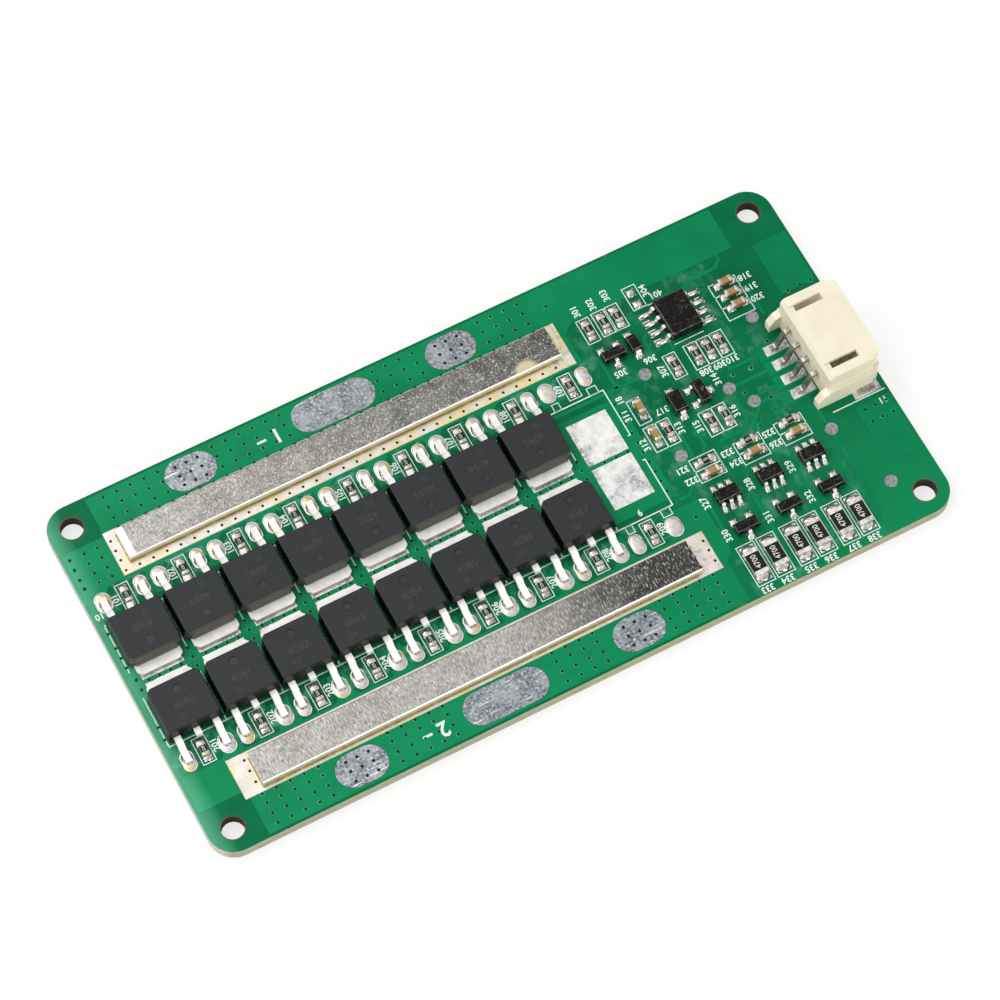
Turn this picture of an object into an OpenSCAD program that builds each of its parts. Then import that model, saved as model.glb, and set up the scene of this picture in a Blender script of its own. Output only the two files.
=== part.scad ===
// Battery management board.
// A drilled circuit board carries two rows of power transistors, a tinned bus bar beside each row,
// and a block of small parts with a four-way side-entry socket at the +X end.
// The origin is the centre of the board's underside: +X towards the socket, +Z up, millimetres.

/* [Board] */
// Length of the board, from its free end to the socket end
board_l = 90; // [84:0.5:130]
// Width of the board
board_w = 45; // [45:0.5:60]
// Thickness of the laminate
board_t = 1.6; // [0.8:0.1:3.2]
// Radius of the board's corners
board_corner = 3; // [0.5:0.5:4.5]
// Diameter of the four mounting holes
hole_d = 2.6; // [2:0.1:3.4]
// Distance from each hole's centre to the two nearest edges
hole_inset = 2.8; // [2.4:0.1:3.2]

/* [Tinned lands] */
// Thickness of the copper and its tin
land_t = 0.1; // [0.05:0.01:0.2]
// Gap left between neighbouring lands
land_gap = 0.3; // [0.2:0.05:0.5]
// Distance from each long edge to the oval wire lands
wire_land_edge = 0.6; // [0.4:0.05:0.8]
// Share of the strip outside the transistors that the wire lands take, in percent
wire_land_share = 44.9; // [36:0.1:48]
// Length of the middle wire land on each side
wire_land_long = 10; // [8:0.5:12]
// Length of the outer wire lands
wire_land_short = 6; // [5:0.5:8]
// Distance from the free end to the bus lands
bus_land_start = 5.4; // [5.2:0.1:8]
// Distance from the socket end to the upper bus land
upper_land_end = 29; // [28:0.5:32]
// Distance from the socket end to the lower bus land
lower_land_end = 26.8; // [26.6:0.1:32]
// Length of the drain land under each transistor
drain_land_l = 5.5; // [4.5:0.1:5.8]
// Width of the drain land
drain_land_w = 5; // [4.4:0.1:5.6]
// Length of the lands under the transistor leads
lead_land_l = 2.55; // [2:0.05:2.8]
// Width of the gate lead's land
gate_land_w = 1.57; // [1.2:0.01:1.8]
// Width of the source lead's land
source_land_w = 1.87; // [1.4:0.01:2]
// Height of the solder on the lead lands
solder_h = 0.35; // [0.15:0.05:0.45]
// Diameter of the round test lands
test_land_d = 1.5; // [1:0.1:1.8]

/* [Power transistors] */
// Width of the moulded body
fet_w = 6.6; // [6:0.05:7]
// Length of the moulded body
fet_l = 6.1; // [5.6:0.05:6.2]
// Height of the moulded body
fet_h = 2.3; // [1.8:0.05:2.6]
// Gap between neighbours in a row
fet_gap = 0.18; // [0.1:0.01:0.6]
// Distance from the free end to the first body
row_start = 1; // [0.6:0.05:1.2]
// Distance from the middle line to the centre of each row
row_offset = 4.75; // [4.7:0.01:4.9]
// Corner cut off the body at its tab end
fet_clip = 0.9; // [0.4:0.05:1.1]
// Width of the metal tab
tab_w = 5.35; // [4.8:0.05:5.4]
// Thickness of the tab and the leads
fet_metal_t = 0.5; // [0.4:0.02:0.55]
// How far the tab stands out of the body
tab_out = 1.1; // [0.8:0.05:1.2]
// Distance from the package's middle to each lead
fet_lead_x = 2.28; // [2.1:0.01:2.5]
// Width of each lead
fet_lead_w = 0.76; // [0.6:0.02:0.9]
// How far the leads reach out of the body
fet_lead_reach = 2.9; // [2.5:0.05:3]
// Length of the clipped middle lead
stub_out = 0.8; // [0.4:0.05:1]

/* [Bus bars] */
// Distance from the lower bus bar to its land's inner edge
bar_inner = 0.525; // [0.125:0.025:1.5]
// Thickness of each bus bar
bar_t = 1; // [0.5:0.1:1.6]
// Distance from a bus land's outer edge to its bar
bar_inset = 0.45; // [0.1:0.05:0.6]
// Distance from the ends of the upper land to its bar
upper_bar_end = 1.35; // [0.5:0.05:3]
// Distance from the ends of the lower land to its bar
lower_bar_end = 2.4; // [0.5:0.05:3]
// Rounding of the bars' upper edges
bar_round = 0.25; // [0.1:0.05:0.4]

/* [Chip parts] */
// Length of a small resistor or capacitor
chip_l = 1.6; // [1.4:0.05:1.8]
// Width of a small resistor or capacitor
chip_w = 0.8; // [0.7:0.05:0.9]
// Height of a small resistor
chip_h = 0.45; // [0.35:0.05:0.6]
// Height of a small capacitor
cap_h = 0.8; // [0.6:0.05:0.9]
// Length of a balance resistor
balance_l = 3.2; // [3:0.05:3.4]
// Width of a balance resistor
balance_w = 1.6; // [1.4:0.05:1.8]
// Height of a balance resistor
balance_h = 0.55; // [0.45:0.05:0.7]
// Thickness of the metal on the chip ends
cap_skin = 0.04; // [0.02:0.01:0.06]

/* [Moulded parts] */
// Width of the control chip between its rows of leads
control_w = 3.9; // [3.6:0.05:4.1]
// Length of the control chip
control_l = 4.9; // [4.7:0.05:5.2]
// Height of the control chip's body
control_h = 1.5; // [1.2:0.05:1.8]
// Pitch of the control chip's leads
control_pitch = 1.27; // [1.2:0.01:1.27]
// Length of the balance chips and small transistors
small_l = 2.9; // [2.7:0.05:3.1]
// Width of a balance chip's body
monitor_w = 1.6; // [1.4:0.05:1.7]
// Width of a small transistor's body
switch_w = 1.3; // [1.2:0.05:1.5]
// Height of the balance chips and small transistors
small_h = 1.05; // [0.9:0.05:1.3]
// Pitch of their leads
small_pitch = 0.95; // [0.85:0.01:1]
// Distance between balance channels
channel_pitch = 5.3; // [5.1:0.05:5.4]

/* [Socket] */
// Number of contacts
contacts = 4; // [2:1:5]
// Pitch of the contacts
contact_pitch = 2; // [1.8:0.05:2.2]
// Width of the housing beyond the outer contacts' centres
housing_side = 2.95; // [2.9:0.05:3.2]
// Depth of the housing, mouth to back wall
housing_depth = 6.6; // [6:0.1:7]
// Height of the housing
housing_h = 5.5; // [5.2:0.1:6.5]
// Thickness of the housing's side walls
housing_wall = 1; // [0.9:0.05:1.1]
// Thickness of the housing's floor and roof
housing_skin = 0.6; // [0.5:0.05:0.8]
// Distance from the board's edge to the mouth
mouth_inset = 0.3; // [0:0.05:0.6]
// Length of the ears behind the housing
ear_out = 1.4; // [1:0.1:1.6]
// Side of the square contact wire
contact_wire = 0.5; // [0.4:0.02:0.6]

/* [Hidden] */
$fn = 32;
fets_per_row = 8;
board_top = board_t;
seat = board_t + land_t;
middle_y = -0.35;
row_y = [middle_y - row_offset, middle_y + row_offset];

// Stations along a row: the populated ones, then any bare footprint that fits before the small parts
fet_pitch = fet_w + fet_gap;
small_block_l = 27.9;
stations = floor((board_l - small_block_l - row_start) / fet_pitch);
function station_x(k) = -board_l / 2 + row_start + fet_pitch * (k + 0.5) - fet_gap / 2;

// Transistor package
fet_parting = 0.85;
fet_draft = 0.25;
fet_foot_draft = 0.1;
tab_hidden = 4.3;
tab_clip = 0.5;
fet_lead_rise = 0.6;
fet_lead_run = 0.5;
fet_lead_bend = 0.2;
fet_lead_slope = 60;
fet_lead_embed = 0.9;
stub_w = 0.7;
dimple_d = 1.1;
dimple_y = 1.5;
dimple_depth = 0.08;
lead_land_back = 0.3;
lead_land_y = fet_l / 2 + fet_lead_reach - lead_land_back;
lead_lands_far = row_offset + lead_land_y + lead_land_l / 2;

// Bus lands and wire lands share the strip between the transistor leads and each long edge,
// and the bars follow their lands
bus_land_gap = 0.55;
strip_w = board_w / 2 + middle_y - lead_lands_far - bus_land_gap - land_gap - wire_land_edge;
wire_land_w = round(strip_w * wire_land_share / 5) / 20;
bus_land_edge = wire_land_edge + wire_land_w + land_gap;
lower_land_w = strip_w - wire_land_w;
upper_land_w = lower_land_w - 2 * middle_y;
upper_land_l = board_l - bus_land_start - upper_land_end;
lower_land_l = board_l - bus_land_start - lower_land_end;
upper_land_x = -board_l / 2 + bus_land_start + upper_land_l / 2;
lower_land_x = -board_l / 2 + bus_land_start + lower_land_l / 2;
bar_w = lower_land_w - bar_inset - bar_inner;
bar_y = board_w / 2 - bus_land_edge - bar_inset - bar_w / 2;

// Wire lands along each side: distance from the bus land's middle, then length
upper_wires = [[-15.9, wire_land_short], [1.6, wire_land_long], [16.2, wire_land_short]];
lower_wires = [[-16.3, wire_land_short], [0.95, wire_land_long], [17.2, wire_land_short]];

// Drain lands of the two rows face each other over this gap
drain_land_gap = 0.48;
drain_land_y = row_offset - (drain_land_gap + drain_land_l) / 2;

// Gate resistors sit between the two leads of each package
gate_x = -0.3;
gate_back = 0.4;
gate_y = lead_land_y - gate_back;

// Small parts, each at its distance from the socket end and from one long edge or the centre line
function from_socket_end(d) = board_l / 2 - d;
function below_top(d) = board_w / 2 - d;
function above_bottom(d) = d - board_w / 2;
upright_resistors = concat(
    [for (p = [[25.95, 7.65], [24, 7.65], [22.3, 7.65], [19.55, 16], [16.8, 15.9], [15.25, 15.9],
        [13.7, 15.9]]) [from_socket_end(p[0]), below_top(p[1])]],
    [for (p = [[24.1, -0.3], [19.4, -1.5], [17.6, -1.5]]) [from_socket_end(p[0]), p[1]]]);
upright_capacitors = [for (p = [[25.6, 3.6], [25.7, -0.2]]) [from_socket_end(p[0]), p[1]]];
flat_capacitor_pitch = 1.55;
flat_capacitors = [for (k = [0:2]) [from_socket_end(9.6), below_top(9.5 + flat_capacitor_pitch * k)]];
bare_land_pitch = 1.6;
bare_lands = [for (k = [0, 1]) [from_socket_end(19.5), below_top(5.7 + bare_land_pitch * k)]];
test_lands = concat(
    [for (p = [[23, 15.4], [8.95, 14.7]]) [from_socket_end(p[0]), below_top(p[1])]],
    [for (p = [[15.6, 1.2], [13.95, -1.45], [24.35, -3.6]]) [from_socket_end(p[0]), p[1]]],
    [for (p = [[8.1, 14.1], [5.5, 5.5]]) [from_socket_end(p[0]), above_bottom(p[1])]]);

// Three equal balance channels
channels = 3;
function channel_x(k) = from_socket_end(22.3 - channel_pitch * k);
balance_y = above_bottom(3.75);
balance_x = 1.22;
channel_switch_y = above_bottom(8);
channel_monitor_y = above_bottom(12.3);
channel_capacitor_y = above_bottom(15.55);
channel_resistor_y = above_bottom(17.1);

// Single small parts: place, then turn about Z
control_at = [from_socket_end(16.4), below_top(10.85)];
upper_switch = [from_socket_end(25), below_top(11.8), 0];
middle_switch = [from_socket_end(18.7), 2.1, 90];
switches = concat([upper_switch, middle_switch],
    [for (k = [0:channels - 1]) [channel_x(k), channel_switch_y, 0]]);
diodes = [[from_socket_end(22.4), below_top(11.65), [2, 1.35, 0.95]],
    [from_socket_end(21.7), 2.2, [2.6, 1.7, 1.1]]];

// Chip ends, and the lands under them with their distance from the chip's middle
chip_end = 0.35;
balance_end = 0.5;
chip_land = [0.95, 0.95];
chip_land_x = 0.9;
balance_land = [1.5, 1.7];
balance_land_x = 1.55;

// Moulded packages: standoff, draft and formed leads. lead_drop is how far the leads' undersides
// lie below the body's middle
standoff = 0.1;
small_draft = 0.1;
small_lead_w = 0.4;
small_lead_t = 0.15;
small_lead_run = 0.06;
small_lead_bend = 0.08;
small_lead_slope = 78;
small_lead_embed = 0.3;
small_lead_drop = 0.05;
monitor_lead_reach = 0.7;
switch_lead_reach = 0.6;
diode_lead_w = 0.6;
diode_lead_reach = 0.5;
control_lead_w = 0.42;
control_lead_t = 0.2;
control_lead_run = 0.1;
control_lead_bend = 0.1;
control_lead_embed = 0.4;
control_lead_reach = 1.05;
control_lead_drop = 0.15;
pin_mark_d = 0.7;
pin_mark_inset = 0.8;
pin_mark_depth = 0.05;

// Lands under their leads: size, then distance of the land's middle from the body's wall
monitor_land = [0.6, 0.9];
monitor_land_out = 0.55;
switch_land = [0.85, 0.9];
switch_land_out = 0.45;
diode_land = [0.9, 0.9];
diode_land_out = 0.35;
control_land = [1.8, 0.65];
control_land_out = 0.95;

// Socket
socket_x = board_l / 2 - mouth_inset;
socket_y = 0.25;
housing_w = (contacts - 1) * contact_pitch + 2 * housing_side;
shoulder_z = 2.9;
shoulder_in = 0.4;
contact_z = 2.55;
contact_run = 0.35;
contact_bend = 0.25;
contact_slope = 70;
contact_foot = 2.35;
contact_tip = 1.6;
cavity_depth = 5.4;
cavity_w = housing_w - 2 * housing_wall;
slot_w = 0.9;
slot_l = 3.3;
slot_from_mouth = 2.3;
slot_from_wall = 0.5;
slot_depth = 1.1;
groove_depth = 0.35;
corner_notch = [1, 0.45];
notch_chamfer = 0.3;
back_chamfer = [0.45, 0.6];
window_w = 1;
window_h = 1.3;
window_depth = 0.7;
window_below_contact = 0.2;
ear_w = 0.95;
ear_h = 2.6;
ear_falls = [0.3, 1.3];
anchor_t = 0.3;
anchor_l = 2;
anchor_w = 0.85;
anchor_from_mouth = 1;
anchor_h = 1.5;
anchor_sunk = 0.1;
contact_land = [2.9, 1.25];
contact_land_out = 1.6;
anchor_land = [3.3, 1.3];
anchor_land_under = 0.8;

// How far a cutting shape runs past the surface that it opens
past = 1;

// ---- shared shapes ----

module round_plate(l, w, r, t) {
    linear_extrude(t) {
        square([l - 2 * r, w], center = true);
        square([l, w - 2 * r], center = true);
        for (x = [-1, 1], y = [-1, 1]) translate([x * (l / 2 - r), y * (w / 2 - r)]) circle(r);
    }
}

module oval_plate(l, w, t) {
    d = min(l, w);
    run = max(l, w) - d;
    linear_extrude(t) rotate(l < w ? 90 : 0) {
        square([run, d], center = true);
        for (x = [-1, 1]) translate([x * run / 2, 0]) circle(d / 2);
    }
}

module flat_plate(size, t) {
    linear_extrude(t) square(size, center = true);
}

// Places children at each of a list of points, on top of the board
module at_spots(spots, z, turn = 0) {
    for (p = spots) translate([p[0], p[1], z]) rotate([0, 0, turn]) children();
}

// Places children at a station of a row, with the package's leads towards the long edge
module at_station(row, k, z) {
    translate([station_x(k), row_y[row], z]) rotate([0, 0, row * 180]) children();
}

// Section of a long solder mound: a low arc over a flat base
module mound_section(w, h) {
    arc_r = (w * w / 4 + h * h) / (2 * h);
    intersection() {
        translate([0, h - arc_r]) circle(arc_r, $fn = 144);
        translate([-w / 2, 0]) square([w, h]);
    }
}

module mound(l, w, h) {
    rotate([90, 0, 0]) linear_extrude(l - w, center = true) mound_section(w, h);
    for (turn = [0, 180])
        rotate([0, 0, turn]) translate([0, (l - w) / 2, 0]) rotate_extrude(angle = 180)
            intersection() { mound_section(w, h); square([w, h]); }
}

// Points along an arc, for the bends of a formed lead
function arc(centre, r, from, to, steps = 4) =
    [for (i = [0:steps]) let (a = from + (to - from) * i / steps) centre + r * [cos(a), sin(a)]];

// Section of a formed strip lead. It leaves the body level at height rise, bends down by slope,
// and bends back to a flat foot. u runs outwards from the body wall, v upwards from the foot.
module gull_section(t, rise, run, reach, bend, slope, embed) {
    outer = bend + t;
    fall = (rise - t - 2 * bend + (bend + outer) * cos(slope)) / sin(slope);
    knee = [run, rise - bend];
    heel = [run + (bend + outer) * sin(slope) + fall * cos(slope), outer];
    polygon(concat([[-embed, rise], [-embed, rise + t]], arc(knee, outer, 90, 90 - slope),
        arc(heel, bend, 270 - slope, 270), [[reach, t], [reach, 0]],
        arc(heel, outer, 270, 270 - slope), arc(knee, bend, 90 - slope, 90)));
}

// Lead along +X from the body wall at x = 0
module gull_lead(w, t, rise, run, reach, bend, slope, embed) {
    rotate([90, 0, 0]) linear_extrude(w, center = true)
        gull_section(t, rise, run, reach, bend, slope, embed);
}

// Thin formed lead of the small packages
module small_lead(w, reach, rise) {
    gull_lead(w, small_lead_t, rise, small_lead_run, reach,
        small_lead_bend, small_lead_slope, small_lead_embed);
}

// Moulded body, widest at its parting line and drafted above and below it
module drafted_section(w, h, parting, draft, foot_draft) {
    polygon([[-w / 2 + foot_draft, 0], [w / 2 - foot_draft, 0], [w / 2, parting],
        [w / 2 - draft, h], [-w / 2 + draft, h], [-w / 2, parting]]);
}

module drafted_block(l, w, h, parting, draft, foot_draft) {
    intersection() {
        rotate([90, 0, 0]) linear_extrude(w, center = true)
            drafted_section(l, h, parting, draft, foot_draft);
        rotate([90, 0, 90]) linear_extrude(l, center = true)
            drafted_section(w, h, parting, draft, foot_draft);
    }
}

module small_body(l, w, h) {
    translate([0, 0, standoff])
        drafted_block(l, w, h - standoff, (h - standoff) / 2, small_draft, small_draft / 2);
}

// ---- board and its lands ----

module board() {
    hole_x = board_l / 2 - hole_inset;
    hole_y = board_w / 2 - hole_inset;
    color("seagreen") difference() {
        round_plate(board_l, board_w, board_corner, board_t);
        for (x = [-1, 1], y = [-1, 1]) translate([x * hole_x, y * hole_y, -past])
            cylinder(d = hole_d, h = board_t + 2 * past);
    }
}

module wire_lands() {
    y = board_w / 2 - wire_land_edge - wire_land_w / 2;
    color("darkgray") {
        for (p = upper_wires) translate([upper_land_x + p[0], y, board_top])
            oval_plate(p[1], wire_land_w, land_t);
        for (p = lower_wires) translate([lower_land_x + p[0], -y, board_top])
            oval_plate(p[1], wire_land_w, land_t);
    }
}

module bus_lands() {
    upper_y = board_w / 2 - bus_land_edge - upper_land_w / 2;
    lower_y = -board_w / 2 + bus_land_edge + lower_land_w / 2;
    color("gainsboro") {
        translate([upper_land_x, upper_y, board_top])
            flat_plate([upper_land_l, upper_land_w], land_t);
        translate([lower_land_x, lower_y, board_top])
            flat_plate([lower_land_l, lower_land_w], land_t);
    }
}

module drain_lands() {
    color("gainsboro") for (row = [0, 1], k = [0:stations - 1]) at_station(row, k, board_top)
        translate([0, drain_land_y, 0]) flat_plate([drain_land_w, drain_land_l], land_t);
}

module at_lead_lands() {
    for (row = [0, 1], k = [0:stations - 1]) at_station(row, k, board_top)
        translate([0, -lead_land_y, 0]) children();
}

module lead_lands() {
    color("gainsboro") at_lead_lands() {
        translate([-fet_lead_x, 0, 0]) rotate(90) oval_plate(lead_land_l, gate_land_w, land_t);
        translate([fet_lead_x, 0, 0]) rotate(90) oval_plate(lead_land_l, source_land_w, land_t);
    }
}

// Domed solder on the lead lands, round the feet of the leads that stand there
module lead_solder() {
    color("silver") difference() {
        at_lead_lands() translate([0, 0, land_t]) {
            translate([-fet_lead_x, 0, 0]) mound(lead_land_l, gate_land_w, solder_h);
            translate([fet_lead_x, 0, 0]) mound(lead_land_l, source_land_w, solder_h);
        }
        for (row = [0, 1], k = [0:fets_per_row - 1]) at_station(row, k, seat) fet_feet();
    }
}

module chip_lands(size, x) {
    for (side = [-1, 1]) translate([side * x, 0, 0]) flat_plate(size, land_t);
}

module part_lands() {
    z = board_top;
    color("gainsboro") {
        for (row = [0, 1], k = [0:stations - 1]) at_station(row, k, z)
            translate([gate_x, -gate_y, 0]) rotate(90) chip_lands(chip_land, chip_land_x);
        at_spots(upright_resistors, z, 90) chip_lands(chip_land, chip_land_x);
        at_spots(upright_capacitors, z, 90) chip_lands(chip_land, chip_land_x);
        at_spots(flat_capacitors, z) chip_lands(chip_land, chip_land_x);
        at_spots(bare_lands, z) flat_plate(chip_land, land_t);
        at_spots(test_lands, z) cylinder(d = test_land_d, h = land_t);
        for (k = [0:channels - 1]) translate([channel_x(k), 0, z]) channel_lands();
        translate([control_at[0], control_at[1], z]) control_lands();
        for (p = switches) translate([p[0], p[1], z]) rotate(p[2]) switch_lands();
        for (p = diodes) translate([p[0], p[1], z]) rotate(90)
            chip_lands(diode_land, p[2][0] / 2 + diode_land_out);
        translate([socket_x, socket_y, z]) socket_lands();
    }
}

module channel_lands() {
    translate([0, channel_capacitor_y, 0]) chip_lands(chip_land, chip_land_x);
    translate([0, channel_resistor_y, 0]) chip_lands(chip_land, chip_land_x);
    for (x = [-1, 1]) translate([x * balance_x, balance_y, 0]) rotate(90)
        chip_lands(balance_land, balance_land_x);
    for (x = [-1:1], y = [-1, 1])
        translate([x * small_pitch, channel_monitor_y + y * (monitor_w / 2 + monitor_land_out), 0])
            flat_plate(monitor_land, land_t);
}

module control_lands() {
    for (k = [-1.5:1.5], side = [-1, 1])
        translate([side * (control_w / 2 + control_land_out), k * control_pitch, 0])
            flat_plate(control_land, land_t);
}

module switch_lands() {
    y = switch_w / 2 + switch_land_out;
    for (x = [-1, 1]) translate([x * small_pitch, y, 0]) flat_plate(switch_land, land_t);
    translate([0, -y, 0]) flat_plate(switch_land, land_t);
}

module socket_lands() {
    for (k = [0:contacts - 1]) translate([-housing_depth - contact_land_out, contact_y(k), 0])
        flat_plate(contact_land, land_t);
    anchor_lands();
}

// Lands under the housing's metal feet, let into its underside
module anchor_lands() {
    y = (housing_w + anchor_land[1] - anchor_land_under) / 2;
    for (side = [-1, 1]) translate([-anchor_from_mouth - anchor_l / 2, side * y, 0])
        flat_plate(anchor_land, land_t);
}

// ---- bus bars ----

// Drawn strip with its upper edges eased
module bus_bar(l) {
    rotate([90, 0, 90]) linear_extrude(l, center = true) {
        translate([-bar_w / 2, 0]) square([bar_w, bar_t - bar_round]);
        translate([-bar_w / 2 + bar_round, 0]) square([bar_w - 2 * bar_round, bar_t]);
        for (side = [-1, 1]) translate([side * (bar_w / 2 - bar_round), bar_t - bar_round])
            circle(bar_round);
    }
}

module upper_bus_bar() {
    color("silver") translate([upper_land_x, bar_y, seat]) bus_bar(upper_land_l - 2 * upper_bar_end);
}

module lower_bus_bar() {
    color("silver") translate([lower_land_x, -bar_y, seat]) bus_bar(lower_land_l - 2 * lower_bar_end);
}

// ---- power transistors, leads towards -Y ----

module fet_leads() {
    for (side = [-1, 1]) translate([side * fet_lead_x, -fet_l / 2, 0]) rotate(-90)
        gull_lead(fet_lead_w, fet_metal_t, fet_lead_rise, fet_lead_run, fet_lead_reach,
            fet_lead_bend, fet_lead_slope, fet_lead_embed);
}

// Room that the feet take in the solder, open towards the body
module fet_feet() {
    toe = -fet_l / 2 - fet_lead_reach;
    inner = -lead_land_y + lead_land_l;
    for (side = [-1, 1]) translate([side * fet_lead_x - fet_lead_w / 2, toe, -land_t])
        cube([fet_lead_w, inner - toe, solder_h + past]);
}

// Tab plate under the body, clipped at its outer corners
module fet_tab() {
    far = fet_l / 2 + tab_out;
    near = fet_l / 2 - tab_hidden;
    linear_extrude(fet_metal_t) polygon([[-tab_w / 2, near], [tab_w / 2, near],
        [tab_w / 2, far - tab_clip], [tab_w / 2 - tab_clip, far],
        [-tab_w / 2 + tab_clip, far], [-tab_w / 2, far - tab_clip]]);
}

// Middle lead: steps up inside the body from the tab plate and is clipped short outside
module fet_stub() {
    near = fet_l / 2 - tab_hidden;
    tip = -fet_l / 2 - stub_out;
    translate([-stub_w / 2, near, 0]) cube([stub_w, fet_metal_t, fet_lead_rise + fet_metal_t]);
    translate([-stub_w / 2, tip, fet_lead_rise])
        cube([stub_w, near - tip + fet_metal_t / 2, fet_metal_t]);
}

module fet_frame() {
    fet_tab();
    fet_stub();
    fet_leads();
}

module fet_mould() {
    intersection() {
        drafted_block(fet_w, fet_l, fet_h, fet_parting, fet_draft, fet_foot_draft);
        linear_extrude(fet_h) polygon([[-fet_w / 2, -fet_l / 2], [fet_w / 2, -fet_l / 2],
            [fet_w / 2, fet_l / 2 - fet_clip], [fet_w / 2 - fet_clip, fet_l / 2],
            [-fet_w / 2 + fet_clip, fet_l / 2], [-fet_w / 2, fet_l / 2 - fet_clip]]);
    }
}

module fet_body() {
    difference() {
        fet_mould();
        fet_frame();
        translate([0, dimple_y, fet_h - dimple_depth]) cylinder(d = dimple_d, h = past);
    }
}

// Numbers 1 to 8 stand in the lower row, the rest in the upper row
module at_fet(i) {
    at_station(floor((i - 1) / fets_per_row), (i - 1) % fets_per_row, seat) children();
}

module mosfet_body(i) {
    color([0.2, 0.2, 0.21]) at_fet(i) fet_body();
}

module mosfet_frame(i) {
    color("lightgray") at_fet(i) fet_frame();
}

// ---- chip resistors and capacitors, along X ----

module chip_block(l, w, h) {
    translate([-l / 2, -w / 2, 0]) cube([l, w, h]);
}

// Ceramic slab inside the metal of its ends
module chip_body(l, w, h) {
    translate([0, 0, cap_skin]) chip_block(l - 2 * cap_skin, w, h - 2 * cap_skin);
}

// Metal wrapped over the top, end and underside of each end
module chip_ends(l, w, h, end) {
    for (side = [-1, 1]) difference() {
        translate([side * (l - end) / 2, 0, 0]) chip_block(end, w, h);
        chip_body(l, w + past, h);
    }
}

// A capacitor's metal wraps its sides as well
module capacitor_body() {
    translate([0, 0, cap_skin])
        chip_block(chip_l - 2 * cap_skin, chip_w - 2 * cap_skin, cap_h - 2 * cap_skin);
}

module capacitor_caps() {
    for (side = [-1, 1]) difference() {
        translate([side * (chip_l - chip_end) / 2, 0, 0]) chip_block(chip_end, chip_w, cap_h);
        capacitor_body();
    }
}

module at_gate_resistors() {
    for (row = [0, 1], k = [0:stations - 1]) at_station(row, k, seat)
        translate([gate_x, -gate_y, 0]) rotate(90) children();
}

module at_signal_resistors() {
    at_spots(upright_resistors, seat, 90) children();
    at_spots([for (k = [0:channels - 1]) [channel_x(k), channel_resistor_y]], seat) children();
}

module at_balance_resistors() {
    at_spots([for (k = [0:channels - 1], x = [-1, 1]) [channel_x(k) + x * balance_x, balance_y]],
        seat, 90) children();
}

module at_capacitors() {
    at_spots(upright_capacitors, seat, 90) children();
    at_spots(flat_capacitors, seat) children();
    at_spots([for (k = [0:channels - 1]) [channel_x(k), channel_capacitor_y]], seat) children();
}

module gate_resistor_bodies() {
    color("dimgray") at_gate_resistors() chip_body(chip_l, chip_w, chip_h);
}

module gate_resistor_ends() {
    color("lightgray") at_gate_resistors() chip_ends(chip_l, chip_w, chip_h, chip_end);
}

module signal_resistor_bodies() {
    color("dimgray") at_signal_resistors() chip_body(chip_l, chip_w, chip_h);
}

module signal_resistor_ends() {
    color("lightgray") at_signal_resistors() chip_ends(chip_l, chip_w, chip_h, chip_end);
}

module balance_resistor_bodies() {
    color("dimgray") at_balance_resistors() chip_body(balance_l, balance_w, balance_h);
}

module balance_resistor_ends() {
    color("lightgray") at_balance_resistors()
        chip_ends(balance_l, balance_w, balance_h, balance_end);
}

module capacitor_bodies() {
    color("peru") at_capacitors() capacitor_body();
}

module capacitor_ends() {
    color("lightgray") at_capacitors() capacitor_caps();
}

// ---- control chip: leads along X, numbered rows along Y ----

module at_control() {
    translate([control_at[0], control_at[1], seat]) children();
}

module control_leads() {
    for (turn = [0, 180], k = [-1.5:1.5]) rotate(turn) translate([control_w / 2, k * control_pitch, 0])
        gull_lead(control_lead_w, control_lead_t, control_h / 2 - control_lead_drop, control_lead_run,
            control_lead_reach, control_lead_bend, small_lead_slope, control_lead_embed);
}

module control_chip_body() {
    color([0.13, 0.13, 0.13]) at_control() difference() {
        small_body(control_w, control_l, control_h);
        control_leads();
        translate([control_w / 2 - pin_mark_inset, control_l / 2 - pin_mark_inset, 0])
            translate([0, 0, control_h - pin_mark_depth]) cylinder(d = pin_mark_d, h = past);
    }
}

module control_chip_leads() {
    color("lightgray") at_control() control_leads();
}

// ---- balance chips: three leads on each long side ----

module at_monitors() {
    for (k = [0:channels - 1]) translate([channel_x(k), channel_monitor_y, seat]) children();
}

module monitor_leads() {
    for (turn = [-90, 90], k = [-1:1]) rotate(turn) translate([monitor_w / 2, k * small_pitch, 0])
        small_lead(small_lead_w, monitor_lead_reach, small_h / 2 - small_lead_drop);
}

module monitor_chip_bodies() {
    color([0.13, 0.13, 0.13]) at_monitors() difference() {
        small_body(small_l, monitor_w, small_h);
        monitor_leads();
    }
}

module monitor_chip_leads() {
    color("lightgray") at_monitors() monitor_leads();
}

// ---- small transistors: two leads towards +Y, one towards -Y ----

module at_switches() {
    for (p = switches) translate([p[0], p[1], seat]) rotate(p[2]) children();
}

module switch_leads() {
    for (k = [-1, 1]) translate([k * small_pitch, switch_w / 2, 0]) rotate(90)
        small_lead(small_lead_w, switch_lead_reach, small_h / 2 - small_lead_drop);
    translate([0, -switch_w / 2, 0]) rotate(-90)
        small_lead(small_lead_w, switch_lead_reach, small_h / 2 - small_lead_drop);
}

module transistor_bodies() {
    color([0.15, 0.15, 0.15]) at_switches() difference() {
        small_body(small_l, switch_w, small_h);
        switch_leads();
    }
}

module transistor_leads() {
    color("lightgray") at_switches() switch_leads();
}

// ---- diodes, along Y ----

module diode_leads_of(size) {
    for (turn = [0, 180]) rotate(turn) translate([size[0] / 2, 0, 0])
        small_lead(diode_lead_w, diode_lead_reach, size[2] / 2 - small_lead_drop);
}

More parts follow.
